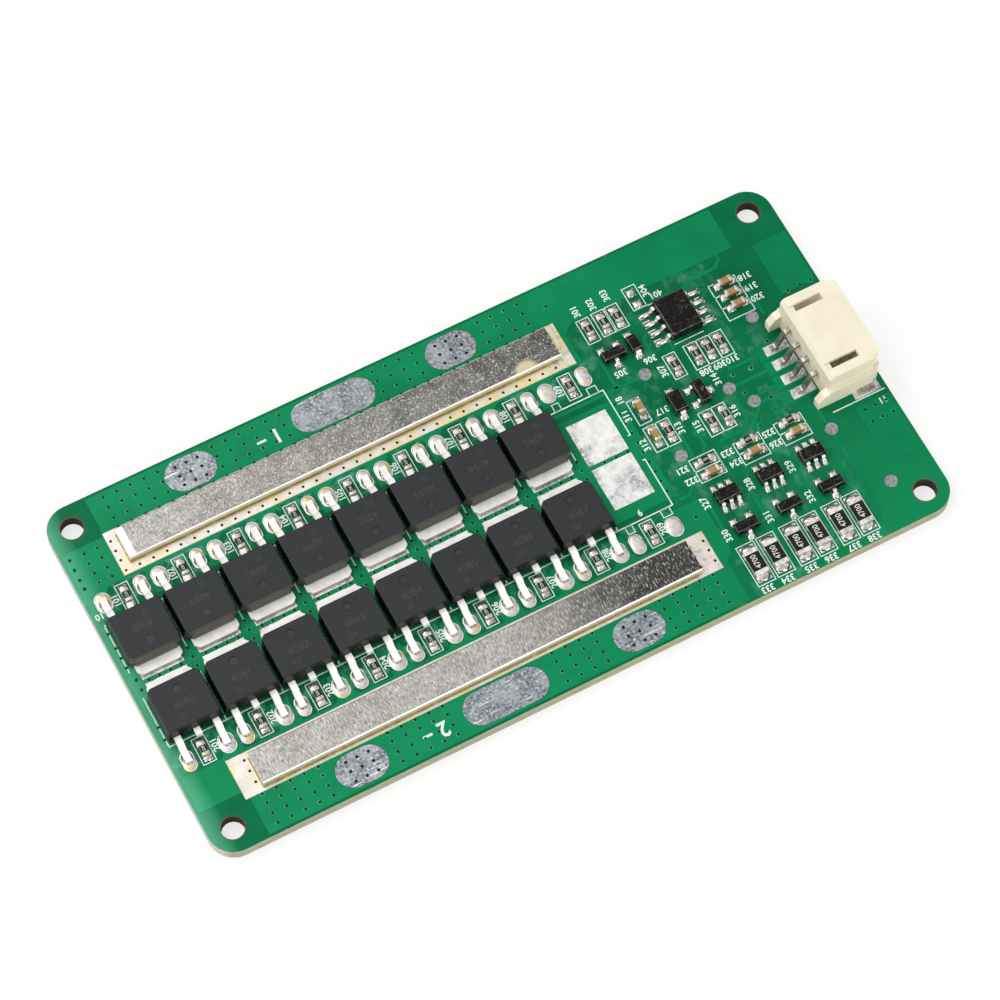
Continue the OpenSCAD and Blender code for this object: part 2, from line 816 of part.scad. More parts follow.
module diode_bodies() {
    color([0.13, 0.13, 0.13]) for (p = diodes) translate([p[0], p[1], seat]) rotate(90) difference() {
        small_body(p[2][0], p[2][1], p[2][2]);
        diode_leads_of(p[2]);
    }
}

module diode_leads() {
    color("lightgray") for (p = diodes) translate([p[0], p[1], seat]) rotate(90)
        diode_leads_of(p[2]);
}

// ---- socket: mouth at x = 0 facing +X, width along Y, standing on z = 0 ----

function contact_y(k) = (k - (contacts - 1) / 2) * contact_pitch;

module at_socket() {
    translate([socket_x, socket_y, board_top]) children();
}

// Bent square wires: a tip in the mouth, a sloping leg behind the back wall, a foot on its land
module contact_wires() {
    for (k = [0:contacts - 1]) translate([-housing_depth, contact_y(k), land_t]) rotate(180)
        gull_lead(contact_wire, contact_wire, contact_z - land_t, contact_run, contact_foot,
            contact_bend, contact_slope, housing_depth - contact_tip);
}

// Outline of the housing from above, with stepped corners beside the mouth
module housing_outline(half) {
    step_x = -corner_notch[0];
    mouth = half - corner_notch[1];
    c = notch_chamfer;
    polygon([[-housing_depth, -half], [step_x, -half], [step_x, -mouth], [-c, -mouth], [0, c - mouth],
        [0, mouth - c], [-c, mouth], [step_x, mouth], [step_x, half], [-housing_depth, half]]);
}

// Lower block, and a narrower upper block with its back edge chamfered
module housing_blocks() {
    linear_extrude(shoulder_z) housing_outline(housing_w / 2);
    intersection() {
        linear_extrude(housing_h) housing_outline(housing_w / 2 - shoulder_in);
        rotate([90, 0, 0]) linear_extrude(housing_w, center = true)
            polygon([[-housing_depth, 0], [0, 0], [0, housing_h],
                [-housing_depth + back_chamfer[0], housing_h],
                [-housing_depth, housing_h - back_chamfer[1]]]);
    }
}

// Fins behind the side walls, sloped on top
module housing_ears() {
    for (side = [-1, 1]) translate([0, side * (housing_w - ear_w) / 2, 0]) rotate([90, 0, 0])
        linear_extrude(ear_w, center = true)
            polygon([[-housing_depth - ear_out, 0], [-housing_depth, 0], [-housing_depth, ear_h],
                [-housing_depth - ear_out / 2, ear_h - ear_falls[0]],
                [-housing_depth - ear_out, ear_h - ear_falls[1]]]);
}

// Openings through the roof, and shallow grooves from them to the back edge
module roof_slots() {
    slot_y = cavity_w / 2 - slot_w / 2 - slot_from_wall;
    slot_end = -slot_from_mouth - slot_l;
    for (side = [-1, 1]) translate([0, side * slot_y - slot_w / 2, 0]) {
        translate([slot_end, 0, housing_h - slot_depth])
            cube([slot_l, slot_w, slot_depth + past]);
        translate([-housing_depth - past, 0, housing_h - groove_depth])
            cube([housing_depth + past + slot_end, slot_w, groove_depth + past]);
    }
}

// Pocket under each contact in the back wall
module back_windows() {
    z = contact_z - window_below_contact - window_h;
    for (k = [0:contacts - 1])
        translate([-housing_depth - past, contact_y(k) - window_w / 2, z])
            cube([window_depth + past, window_w, window_h]);
}

// Metal feet that hold the housing to the board, one blade and one foot on each side
module anchors() {
    for (side = [-1, 1]) mirror([0, side < 0 ? 1 : 0, 0])
        translate([-anchor_from_mouth - anchor_l, housing_w / 2, land_t]) {
            translate([0, -anchor_t - anchor_sunk, 0]) cube([anchor_l, anchor_t, anchor_h]);
            translate([0, -anchor_t / 2 - anchor_sunk, 0]) cube([anchor_l, anchor_w, anchor_t]);
        }
}

module socket_housing() {
    color("blanchedalmond") at_socket() difference() {
        union() { housing_blocks(); housing_ears(); }
        translate([-cavity_depth, -cavity_w / 2, housing_skin])
            cube([cavity_depth + past, cavity_w, housing_h - 2 * housing_skin]);
        roof_slots();
        back_windows();
        contact_wires();
        anchors();
        anchor_lands();
    }
}

module socket_contacts() {
    color("silver") at_socket() contact_wires();
}

module socket_anchors() {
    color("silver") at_socket() anchors();
}

board();
wire_lands();
bus_lands();
drain_lands();
lead_lands();
part_lands();
upper_bus_bar();
lower_bus_bar();
for (i = [1:2 * fets_per_row]) {
    mosfet_body(i);
    mosfet_frame(i);
}
lead_solder();
gate_resistor_bodies();
gate_resistor_ends();
signal_resistor_bodies();
signal_resistor_ends();
balance_resistor_bodies();
balance_resistor_ends();
capacitor_bodies();
capacitor_ends();
control_chip_body();
control_chip_leads();
monitor_chip_bodies();
monitor_chip_leads();
transistor_bodies();
transistor_leads();
diode_bodies();
diode_leads();
socket_housing();
socket_contacts();
socket_anchors();
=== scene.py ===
import math
import random

import bmesh
import bpy
from mathutils import Euler, Matrix, Vector


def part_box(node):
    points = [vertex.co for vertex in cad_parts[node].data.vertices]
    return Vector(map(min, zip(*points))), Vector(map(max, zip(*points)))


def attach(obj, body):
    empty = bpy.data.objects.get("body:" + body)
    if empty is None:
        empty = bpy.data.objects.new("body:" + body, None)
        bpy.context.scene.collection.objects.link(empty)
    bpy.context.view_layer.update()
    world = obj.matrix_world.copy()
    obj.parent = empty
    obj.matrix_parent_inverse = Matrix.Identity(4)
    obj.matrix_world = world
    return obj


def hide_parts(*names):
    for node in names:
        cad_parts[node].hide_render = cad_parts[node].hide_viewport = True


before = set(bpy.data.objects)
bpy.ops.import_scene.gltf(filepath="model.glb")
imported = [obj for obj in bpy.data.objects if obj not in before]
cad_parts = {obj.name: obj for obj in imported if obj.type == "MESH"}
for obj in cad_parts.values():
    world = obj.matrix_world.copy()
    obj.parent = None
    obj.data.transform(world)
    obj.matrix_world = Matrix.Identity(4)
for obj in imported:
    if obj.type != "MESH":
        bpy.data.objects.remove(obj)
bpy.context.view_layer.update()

mm = 0.001
scene = bpy.context.scene
scene.view_settings.view_transform = "Standard"
boardLow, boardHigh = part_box("board")
boardMiddle = (boardHigh.y - boardLow.y) / 2 / mm         # mm from the front edge
chance = random.Random(7)


# Camera, lamps, floor and world

studio = {
    "cameraPlace": (-93.865, -175.015, 415.197),   # mm
    "cameraTurn": (25.776, -0.131, -27.949),       # degrees
    "lens": 151.53,
    "clip": (0.01, 20),                            # m
    "floorSize": 6000,                             # mm
    "floorDrop": 0.02,                             # mm below the underside
    "floorGlow": 0.72,                             # share of plain white that the camera sees
    "worldLight": 0.66,
    "wallRadius": 2200,                            # mm, dark studio walls that sloping metal mirrors
    "wallHeight": 1500,
    "lamps": {                                     # place and size in mm, power in watts
        "soft_box": ((-240, 300, 620), (520, 420), 2.2),
        "side_fill": ((-620, -120, 300), (400, 300), 1.5),
        "front_fill": ((160, -620, 240), (420, 260), 1.8),
    },
}


def hexColour(text):
    # an sRGB hex value as linear red, green, blue and alpha
    parts = [int(text[i:i + 2], 16) / 255 for i in (1, 3, 5)]
    return tuple(p / 12.92 if p <= 0.04045 else ((p + 0.055) / 1.055) ** 2.4 for p in parts) + (1.0,)


def addNode(tree, kind, inputs=None, stops=(), out=None, **settings):
    # one node with its settings, its values and the sockets that feed it. Gives the output named, or the
    # first in use. Text is an sRGB hex colour, and a colour ramp's stops are (position, hex colour) pairs
    node = tree.nodes.new("ShaderNode" + kind)
    for name, value in settings.items():
        setattr(node, name, value)
    for name, value in (inputs or {}).items():
        if isinstance(value, bpy.types.NodeSocket):
            tree.links.new(value, node.inputs[name])
        else:
            node.inputs[name].default_value = hexColour(value) if isinstance(value, str) else value
    for k, (position, colour) in enumerate(stops):
        elements = node.color_ramp.elements
        element = elements[k] if k < len(elements) else elements.new(position)
        element.position = position
        element.color = hexColour(colour)
    if out:
        return node.outputs[out]
    return next((socket for socket in node.outputs if socket.enabled), None)


def toMaterial(name):
    material = bpy.data.materials.new(name)
    material.use_nodes = True
    material.node_tree.nodes.clear()
    return material, material.node_tree


def endWith(material, kind, inputs):
    # the shader that a material ends with, linked to its output
    tree = material.node_tree
    addNode(tree, "OutputMaterial", {"Surface": addNode(tree, kind, inputs)})
    return material


def addStage(name, bm, material):
    mesh = bpy.data.meshes.new(name)
    bm.to_mesh(mesh)
    bm.free()
    mesh.materials.append(material)
    thing = bpy.data.objects.new(name, mesh)
    scene.collection.objects.link(thing)
    return thing


def paperWhite():
    # matt white sweep: it takes the soft shadow, and shows white to the camera and to reflections
    material, tree = toMaterial("matt_white_paper")
    direct, glossy = [addNode(tree, "LightPath", out=ray) for ray in ("Is Camera Ray", "Is Glossy Ray")]
    seen = addNode(tree, "Math", {0: direct, 1: glossy}, operation="MAXIMUM")
    share = addNode(tree, "Math", {0: seen, 1: studio["floorGlow"]}, operation="MULTIPLY")
    paper = addNode(tree, "BsdfDiffuse", {"Color": "#f4f4f2"})
    glow = addNode(tree, "Emission", {"Color": "#ffffff", "Strength": 1.0})
    return endWith(material, "MixShader", {0: share, 1: paper, 2: glow})


def paperFloor():
    bm = bmesh.new()
    place = Matrix.Translation((0, 0, boardLow.z - studio["floorDrop"] * mm))
    bmesh.ops.create_grid(bm, x_segments=1, y_segments=1, size=studio["floorSize"] * mm / 2, matrix=place)
    addStage("floor", bm, paperWhite())


def studioWalls():
    # black flocked card all round. It shows only in gloss, so it neither shades the board nor tints the sweep
    bm = bmesh.new()
    height, radius = studio["wallHeight"] * mm, studio["wallRadius"] * mm
    bmesh.ops.create_cone(bm, cap_ends=False, segments=48, radius1=radius, radius2=radius, depth=height,
                          matrix=Matrix.Translation((0, 0, height / 2)))
    card = endWith(toMaterial("black_flocked_card")[0], "BsdfDiffuse", {"Color": "#303032"})
    walls = addStage("studio_walls", bm, card)
    walls.visible_camera = False
    walls.visible_diffuse = False
    walls.visible_shadow = False
    walls.visible_transmission = False


def studioWorld():
    # an even pale room that is plain white wherever it is seen
    world = bpy.data.worlds.new("studio")
    world.use_nodes = True
    tree = world.node_tree
    tree.nodes.clear()
    straight, clear, glossy = [addNode(tree, "LightPath", out=ray)
                             for ray in ("Is Camera Ray", "Is Transmission Ray", "Is Glossy Ray")]
    direct = addNode(tree, "Math", {0: straight, 1: clear}, operation="MAXIMUM")
    seen = addNode(tree, "Math", {0: direct, 1: glossy}, operation="MAXIMUM")
    strength = addNode(tree, "MapRange", {"Value": seen, "To Min": studio["worldLight"], "To Max": 1.0})
    glow = addNode(tree, "Background", {"Color": "#ffffff", "Strength": strength})
    addNode(tree, "OutputWorld", {"Surface": glow})
    scene.world = world


def addLamp(name, place, size, power):
    light = bpy.data.lights.new(name, "AREA")
    light.shape = "RECTANGLE"
    light.size, light.size_y = size[0] * mm, size[1] * mm
    light.energy = power
    lamp = bpy.data.objects.new(name, light)
    lamp.location = Vector(place) * mm
    lamp.rotation_euler = (-lamp.location).to_track_quat("-Z", "Y").to_euler()     # aimed at the board
    scene.collection.objects.link(lamp)


camera = bpy.data.objects.new("camera", bpy.data.cameras.new("camera"))
camera.location = Vector(studio["cameraPlace"]) * mm
camera.rotation_euler = Euler([math.radians(a) for a in studio["cameraTurn"]])
camera.data.lens = studio["lens"]
camera.data.sensor_width = 36
camera.data.clip_start, camera.data.clip_end = studio["clip"]
scene.collection.objects.link(camera)
scene.camera = camera

for name, lampValues in studio["lamps"].items():
    addLamp(name, *lampValues)
studioWorld()
paperFloor()
studioWalls()
print("stage ready")


# Patterns that the finishes share. Places are in mm from the middle of the board

def grain(tree, size, detail=3.0, roughness=0.5, stretch=(1, 1, 1), cut=None, give=(0, 1)):
    # noise whose lumps are about `size` mm across. With a cut, its values between the two run over `give`
    place = addNode(tree, "TexCoord", out="Object")
    turned = addNode(tree, "Mapping", {"Vector": place, "Scale": stretch})
    noise = addNode(tree, "TexNoise", {"Vector": turned, "Scale": 1 / (size * mm), "Detail": detail,
                                       "Roughness": roughness})
    if cut is None:
        return noise
    return addNode(tree, "MapRange", {0: noise, 1: cut[0], 2: cut[1], 3: give[0], 4: give[1]})


def sheen(tree, size, low, high):
    # a roughness that wanders between two values
    return grain(tree, size, cut=(0, 1), give=(low, high))


def placeOn(tree, axis):
    # the place along one axis of the object, in metres
    return addNode(tree, "SeparateXYZ", {0: addNode(tree, "TexCoord", out="Object")}, out=axis)


def between(tree, axis, start, end, low=0.0, high=1.0):
    # `low` before the start and `high` past the end along one axis
    return addNode(tree, "MapRange", {0: placeOn(tree, axis), 1: start * mm, 2: end * mm, 3: low, 4: high})


def facing(tree, axis, start, end):
    # 0 where the surface's normal along an axis is `start`, 1 where it is `end`
    normal = addNode(tree, "SeparateXYZ", {0: addNode(tree, "TexCoord", out="Normal")}, out=axis)
    return addNode(tree, "MapRange", {0: normal, 1: start, 2: end})


def near(tree, place, middle, reach, soft, most=1.0):
    # `most` within `reach` mm of a point, seen from above
    flat = addNode(tree, "VectorMath", {0: place, 1: (1, 1, 0)}, operation="MULTIPLY")
    away = addNode(tree, "VectorMath", {0: flat, 1: middle}, operation="DISTANCE")
    return addNode(tree, "MapRange", {0: away, 1: reach * mm, 2: (reach + soft) * mm, 3: most, 4: 0.0})


def coats(tree, colour, *layers):
    # lays colours over one another, each with the share that it covers
    for share, coat in layers:
        colour = addNode(tree, "Mix", {0: share, 6: colour, 7: coat}, data_type="RGBA")
    return colour


def surfaced(material, looks, relief=None, depth=0.0):
    # ends a material with its shader; the relief's height of 1 is `depth` mm deep
    if relief is not None:
        tree = material.node_tree
        looks["Normal"] = addNode(tree, "Bump", {"Height": relief, "Distance": depth * mm})
    return endWith(material, "BsdfPrincipled", looks)


# Finishes. Each is named for the real material and how its surface was made; where light or shade is painted
# into one, its comment says so

mask = {
    "holeInset": 2.8,            # mm from the board's edges to a hole's middle
    "holeWallShade": (1.4, 0.2),      # reach and softness of the hole wall's dark: partly its brown drilled laminate, partly painted shade in the hole, mm
    "holeRim": (1.37, 0.1),      # and of the brown rim of its lacquer
    "rim": 0.02,                 # mm of lacquer that folds over the edge
    "core": (0.42, 0.55),        # the laminate's brown core line, as shares of its thickness
    "lighterCorner": ((12, 38), (-20, 4)),      # mm along x and y, towards which the lacquer is lighter
    "endReflectionReach": 2.4,              # mm from the free end over which the painted reflection fades
    "copperReflectionFade": (-20, 36),     # mm along x, over which the painted reflection on the lacquer over copper fades out
}


def nearHole(tree, reach, soft):
    # 1 within `reach` mm of the middle of a mounting hole
    place = addNode(tree, "TexCoord", out="Object")
    folded = addNode(tree, "VectorMath", {0: place}, operation="ABSOLUTE")
    middle = (boardHigh.x - mask["holeInset"] * mm, boardHigh.y - mask["holeInset"] * mm, 0)
    return near(tree, folded, middle, reach, soft)


flux = {                         # mm
    "rowsEnd": (16, 18),         # along x, where the transistors end and the small parts begin
    "partsEnd": (34, 37),
    "leadRow": 10.3,             # from the middle line to the formed leads
    "leadReach": (1.2, 2.0),
}


def residue(tree):
    # milky smears of cleaned flux: round the small parts, and glassier between the formed leads
    smears = grain(tree, 2.2, 5.0, 0.6, (1.0, 0.7, 1.0), (0.52, 0.68), (0.0, 0.42))
    inside = addNode(tree, "Math", {0: between(tree, "X", *flux["rowsEnd"]), 1: smears}, operation="MULTIPLY")
    haze = addNode(tree, "Math", {0: inside, 1: between(tree, "X", *flux["partsEnd"], 1.0, 0.0)},
                   operation="MULTIPLY")
    out = addNode(tree, "Math", {0: placeOn(tree, "Y")}, operation="ABSOLUTE")
    fromRow = addNode(tree, "Math", {0: out, 1: flux["leadRow"] * mm}, operation="SUBTRACT")
    away = addNode(tree, "Math", {0: fromRow}, operation="ABSOLUTE")
    reach = [r * mm for r in flux["leadReach"]]
    beside = addNode(tree, "MapRange", {0: away, 1: reach[0], 2: reach[1], 3: 1.0, 4: 0.0})
    glass = grain(tree, 1.5, 4.0, 0.6, cut=(0.49, 0.62), give=(0.0, 0.55))
    row = addNode(tree, "Math", {0: beside, 1: glass}, operation="MULTIPLY")
    leads = addNode(tree, "Math", {0: between(tree, "X", *flux["rowsEnd"], 1.0, 0.0), 1: row},
                    operation="MULTIPLY")
    return addNode(tree, "Math", {0: haze, 1: leads}, operation="ADD")


def paintedEdgeReflection(tree):
    # painted reflection: the lacquer beside the laminate's free end is painted brighter, standing in for the
    # soft box's gloss there
    end = boardLow.x / mm
    return between(tree, "X", end, end + mask["endReflectionReach"], 0.55, 0.0), "#6cc39c"


def solderMask():
    # glossy cured green lacquer on glass laminate; the routed edge shows the pale laminate
    material, tree = toMaterial("green_solder_mask_on_laminate")
    thickness = (boardHigh.z - boardLow.z) / mm
    overTop = between(tree, "Z", thickness - mask["rim"] * 1.5, thickness - mask["rim"] / 2)
    underside = between(tree, "Z", mask["rim"] / 2, mask["rim"] * 1.5, 1.0, 0.0)
    masked = addNode(tree, "Math", {0: overTop, 1: underside}, operation="MAXIMUM")
    weave = grain(tree, 0.35, 2.0, 0.6, (0.25, 0.25, 4.0))
    laminate = addNode(tree, "ValToRGB", {0: weave}, [(0.3, "#85866c"), (0.55, "#a5a48c"),
                                                      (0.75, "#bab7a5")])
    lower, upper = [between(tree, "Z", thickness * share - 0.025, thickness * share + 0.025, 0.0, 0.5)
                    for share in mask["core"]]
    cored = addNode(tree, "Math", {0: lower, 1: upper}, operation="SUBTRACT")
    # painted light: the laminate's face towards the free end is painted paler than the front edge, for how
    # the light falls there
    edge = coats(tree, laminate, (facing(tree, "X", -0.5, -0.8), "#bfbab1"), (cored, "#8b8068"),
                 (nearHole(tree, *mask["holeWallShade"]), "#39352a"))
    along, across = mask["lighterCorner"]
    corner = addNode(tree, "Math", {0: between(tree, "X", *along), 1: between(tree, "Y", *across, 1.0, 0.0)},
                     operation="MULTIPLY")
    lacquer = addNode(tree, "ValToRGB", {0: grain(tree, 3.0, 2.0)}, [(0.3, "#02603a"), (0.7, "#046b41")])
    top = coats(tree, lacquer, (corner, "#0d7c4b"), (residue(tree), "#5fa58b"),
                (nearHole(tree, *mask["holeRim"]), "#5c4a30"), paintedEdgeReflection(tree))
    return surfaced(material, {
        "Base Color": coats(tree, edge, (masked, top)), "Specular IOR Level": 0.06,
        "Roughness": addNode(tree, "MapRange", {0: masked, 3: 0.7, 4: 0.2})}, grain(tree, 1.2, 3.0), 0.012)


def maskOverCopper():
    # the same lacquer where copper lies under it: lighter and a little warmer, and painted lighter still
    # towards the free end, a painted reflection of the soft box
    material, tree = toMaterial("green_solder_mask_on_copper")
    clouds = grain(tree, 4.0, 3.0)
    freeEnd = addNode(tree, "ValToRGB", {0: clouds}, [(0.3, "#0d7c4c"), (0.7, "#128857")])
    socketEnd = addNode(tree, "ValToRGB", {0: clouds}, [(0.3, "#067447"), (0.7, "#087d4d")])
    # painted reflection: the free end's lighter colours fade into the socket end's
    paintedReflectionFade = between(tree, "X", *mask["copperReflectionFade"])
    return surfaced(material, {
        "Base Color": coats(tree, freeEnd, (paintedReflectionFade, socketEnd), paintedEdgeReflection(tree)),
        "Roughness": sheen(tree, 0.8, 0.16, 0.26), "Specular IOR Level": 0.06}, grain(tree, 0.9, 3.0), 0.014)


def plainFinish(name, size, stops, rough, ior=1.5, detail=3.0, specular=0.5, tooth=None):
    # one colour noise, one roughness, and a tooth of (size, depth, detail) where the surface has a texture
    material, tree = toMaterial(name)
    looks = {"Base Color": addNode(tree, "ValToRGB", {0: grain(tree, size, detail)}, stops),
             "Roughness": rough, "IOR": ior, "Specular IOR Level": specular}
    if not tooth:
        return surfaced(material, looks)
    toothSize, depth, toothDetail = tooth
    return surfaced(material, looks, grain(tree, toothSize, toothDetail), depth)


def hotTin(name, light, dark, size, depth, rough=(0.22, 0.42), metallic=0.75, spotted=False):
    # tin that froze from the melt: bright, with soft waves and a little white oxide, and in places with a
    # few yellow drops of flux dried on it
    material, tree = toMaterial(name)
    waves = grain(tree, size, 3.0, 0.55)
    colour = addNode(tree, "ValToRGB", {0: waves}, [(0.32, dark), (0.6, light)])
    if spotted:
        drops = grain(tree, 1.5, 3.0, 0.6, cut=(0.55, 0.62), give=(0.0, 0.8))
        colour = coats(tree, colour, (drops, "#cfb364"))
    return surfaced(material, {
        "Base Color": colour, "Metallic": metallic, "Roughness": sheen(tree, size / 2, *rough)}, waves, depth)


def pressedTin():
    # wire land rolled flat on the jig: grey crinkled tin with brighter scratches
    material, tree = toMaterial("pressed_wire_tin")
    crinkle = grain(tree, 0.34, 5.0, 0.68)
    mottle = addNode(tree, "ValToRGB", {0: crinkle}, [(0.32, "#33373a"), (0.46, "#6b7177"), (0.58, "#92979c"),
                                                      (0.68, "#e0e3e5")])
    cloud = grain(tree, 1.9, 3.0, 0.6, cut=(0.45, 0.62), give=(0.0, 0.5))
    scratch = grain(tree, 1.3, 2.0, 0.5, (0.35, 5.0, 1.0), (0.64, 0.7), (0.0, 0.7))
    return surfaced(material, {
        "Base Color": coats(tree, mottle, (cloud, "#a9adb0"), (scratch, "#eceded")), "Metallic": 0.8,
        "Roughness": addNode(tree, "MapRange", {0: crinkle, 3: 0.26, 4: 0.44})}, crinkle, 0.03)


busStainsAndLight = {                     # mm
    "flux": (-17, 1),            # along x, where flux starts to tint the upper land
    "crinkle": (11.25, 13.75),   # where both lands turn grey and crinkled
    "upperBar": (-36, 14),       # where the upper bar's top is painted darker, a painted reflection of a darker room
    "lowerBar": (-6, 15),
    "freeRim": (0.7, 0.9),       # solder and a painted highlight on the bars' tops, in from the free end a painted highlight, in from the front edge
    "frontRim": (0.14, 0.22),    # and in from the front edge
    "topRim": (-0.045, -0.015),
    "fluxRise": (0.26, 0.42),    # flux on the bars' sides, up from the land
    "blot": (-4.2, -0.1),        # flux on the upper bar, from its right front corner
    "blotReach": (1.1, 0.5),
}


def shifted(base, places):
    return [base + place for place in places]


def busTin():
    # the long lands' tin: flat and creamy, crinkled grey towards the socket, tinted where flux ran
    material, tree = toMaterial("bus_land_tin")
    creamy = addNode(tree, "ValToRGB", {0: grain(tree, 1.3, 3.0, 0.55)}, [(0.32, "#c6c0b4"),
                                                                          (0.6, "#dad3cc")])
    soaked = addNode(tree, "Math", {0: between(tree, "X", *busStainsAndLight["flux"], 0.0, 0.13),
                                    1: between(tree, "Y", -0.5, 0.5)}, operation="MULTIPLY")
    run = addNode(tree, "Math", {0: soaked, 1: grain(tree, 2.4, 4.0, 0.6)}, operation="ADD")
    tint = addNode(tree, "MapRange", {0: run, 1: 0.5, 2: 0.66, 3: 0.0, 4: 0.75})
    crinkle = grain(tree, 0.55, 4.0, 0.65)
    folds = addNode(tree, "MapRange", {0: crinkle, 1: 0.52, 2: 0.62, 3: 0.0, 4: 0.75})
    grey = addNode(tree, "Math", {0: folds, 1: between(tree, "X", *busStainsAndLight["crinkle"])},
                   operation="MULTIPLY")
    return surfaced(material, {
        "Base Color": coats(tree, creamy, (tint, "#d8c58c"), (grey, "#a3a49d")), "Metallic": 0.5,
        "Roughness": addNode(tree, "MapRange", {0: crinkle, 3: 0.25, 4: 0.45})}, crinkle, 0.02)


def bareTin():
    # the empty places' broad lands: bright in the middle, crinkled and grey in patches round it
    material, tree = toMaterial("uneven_hot_tin")
    waves = grain(tree, 0.9, 3.0, 0.55)
    bright = addNode(tree, "ValToRGB", {0: waves}, [(0.32, "#cfcecb"), (0.6, "#e6e5e2")])
    crinkle = grain(tree, 0.3, 5.0, 0.7)
    mottled = addNode(tree, "ValToRGB", {0: crinkle}, [(0.36, "#5d6266"), (0.5, "#a0a4a7"),
                                                       (0.62, "#dcdddc")])
    patch = grain(tree, 3.2, 3.0, 0.6, cut=(0.45, 0.58), give=(0.0, 0.9))
    return surfaced(material, {
        "Base Color": coats(tree, bright, (patch, mottled)), "Metallic": 0.65,
        "Roughness": addNode(tree, "MapRange", {0: waves, 3: 0.22, 4: 0.42})}, crinkle, 0.02)


def fluxedTab():
    # tin-plated copper tab; its sheared front is tan with flux down by the land
    material, tree = toMaterial("tin_plated_copper_tab")
    streaks = grain(tree, 0.8, 3.0, 0.55)
    plated = addNode(tree, "ValToRGB", {0: streaks}, [(0.32, "#e4e1dc"), (0.6, "#f3f1ee")])
    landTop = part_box("drain_lands")[1].z / mm
    low = between(tree, "Z", landTop + 0.2, landTop + 0.36, 0.95, 0.0)
    tan = addNode(tree, "Math", {0: low, 1: grain(tree, 1.6, 2.0, cut=(0.4, 0.56), give=(0.3, 1.0))},
                  operation="MULTIPLY")
    return surfaced(material, {
        "Base Color": coats(tree, plated, (tan, "#bfae76")), "Metallic": 0.15,
        "Roughness": sheen(tree, 0.4, 0.38, 0.48)}, streaks, 0.006)


def nickelStrip():
    # nickel bus bar: ground across its length on top, and painted darker towards the socket end as a painted
    # reflection of a darker room;
    # its front rim carries a painted highlight, its free end is bright with solder and a painted highlight,
    # and its sides are tan with flux low down
    material, tree = toMaterial("cross_ground_nickel_strip")
    # the cream of solder, also used for the painted highlight on the front rims
    solderAndHighlight = "#f4efe4"
    upperLow, upperHigh = [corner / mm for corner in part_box("upper_bus_bar")]
    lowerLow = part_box("lower_bus_bar")[0] / mm
    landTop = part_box("bus_lands")[1].z / mm
    onUpper = between(tree, "Y", -0.5, 0.5)
    speck = addNode(tree, "Mix", {0: onUpper, 2: grain(tree, 0.27, 4.0, 0.75, (1.6, 0.45, 1)),
                                  3: grain(tree, 0.24, 4.0, 0.8, (1.15, 0.85, 1))}, data_type="FLOAT")
    stain = grain(tree, 2.6, 5.0, 0.7, cut=(0.3, 0.7), give=(0.37, 0.63))
    # painted reflection: the bars' tops are painted darker towards the socket end, standing in for a darker
    # room mirrored there
    dark = addNode(tree, "Mix", {0: onUpper, 2: between(tree, "X", *busStainsAndLight["lowerBar"], 0.0, 0.7),
                                 3: between(tree, "X", *busStainsAndLight["upperBar"], 0.0, 0.42)}, data_type="FLOAT")
    shade = addNode(tree, "Math", {0: dark, 1: stain}, operation="ADD")
    ground = addNode(tree, "ValToRGB", {0: shade}, [(0.4, "#acaaa6"), (0.6, "#918e87"), (0.8, "#71706b"),
                                                    (1.0, "#31312e")])
    pits = addNode(tree, "MapRange", {0: speck, 1: 0.5, 2: 0.66, 3: 0.0, 4: 0.8})
    glints = addNode(tree, "MapRange", {0: speck, 1: 0.34, 2: 0.46, 3: 0.8, 4: 0.0})
    # painted highlight: the front rims are painted bright, and the free ends with solder and a painted
    # highlight
    freeEnd = between(tree, "X", *shifted(upperLow.x, busStainsAndLight["freeRim"]), 0.9, 0.0)
    lowerFront, upperFront = [between(tree, "Y", *shifted(low.y, busStainsAndLight["frontRim"]), 0.95, 0.0)
                              for low in (lowerLow, upperLow)]
    front = addNode(tree, "Mix", {0: onUpper, 2: lowerFront, 3: upperFront}, data_type="FLOAT")
    blotPlace = Vector((upperHigh.x + busStainsAndLight["blot"][0], upperLow.y + busStainsAndLight["blot"][1], 0)) * mm
    blot = near(tree, addNode(tree, "TexCoord", out="Object"), blotPlace, *busStainsAndLight["blotReach"], 0.85)
    top = coats(tree, ground, (pits, "#494844"), (glints, "#d9d7d1"), (freeEnd, solderAndHighlight), (front, solderAndHighlight),
                (blot, "#cfc3a0"))
    side = coats(tree, "#cdbb85", (between(tree, "Z", *shifted(landTop, busStainsAndLight["fluxRise"])), solderAndHighlight))
    onTop = between(tree, "Z", *shifted(upperHigh.z, busStainsAndLight["topRim"]))
    return surfaced(material, {
        "Base Color": coats(tree, side, (onTop, top)), "Metallic": 0.8,
        "Roughness": addNode(tree, "MapRange", {0: stain, 3: 0.34, 4: 0.48})}, speck, 0.02)


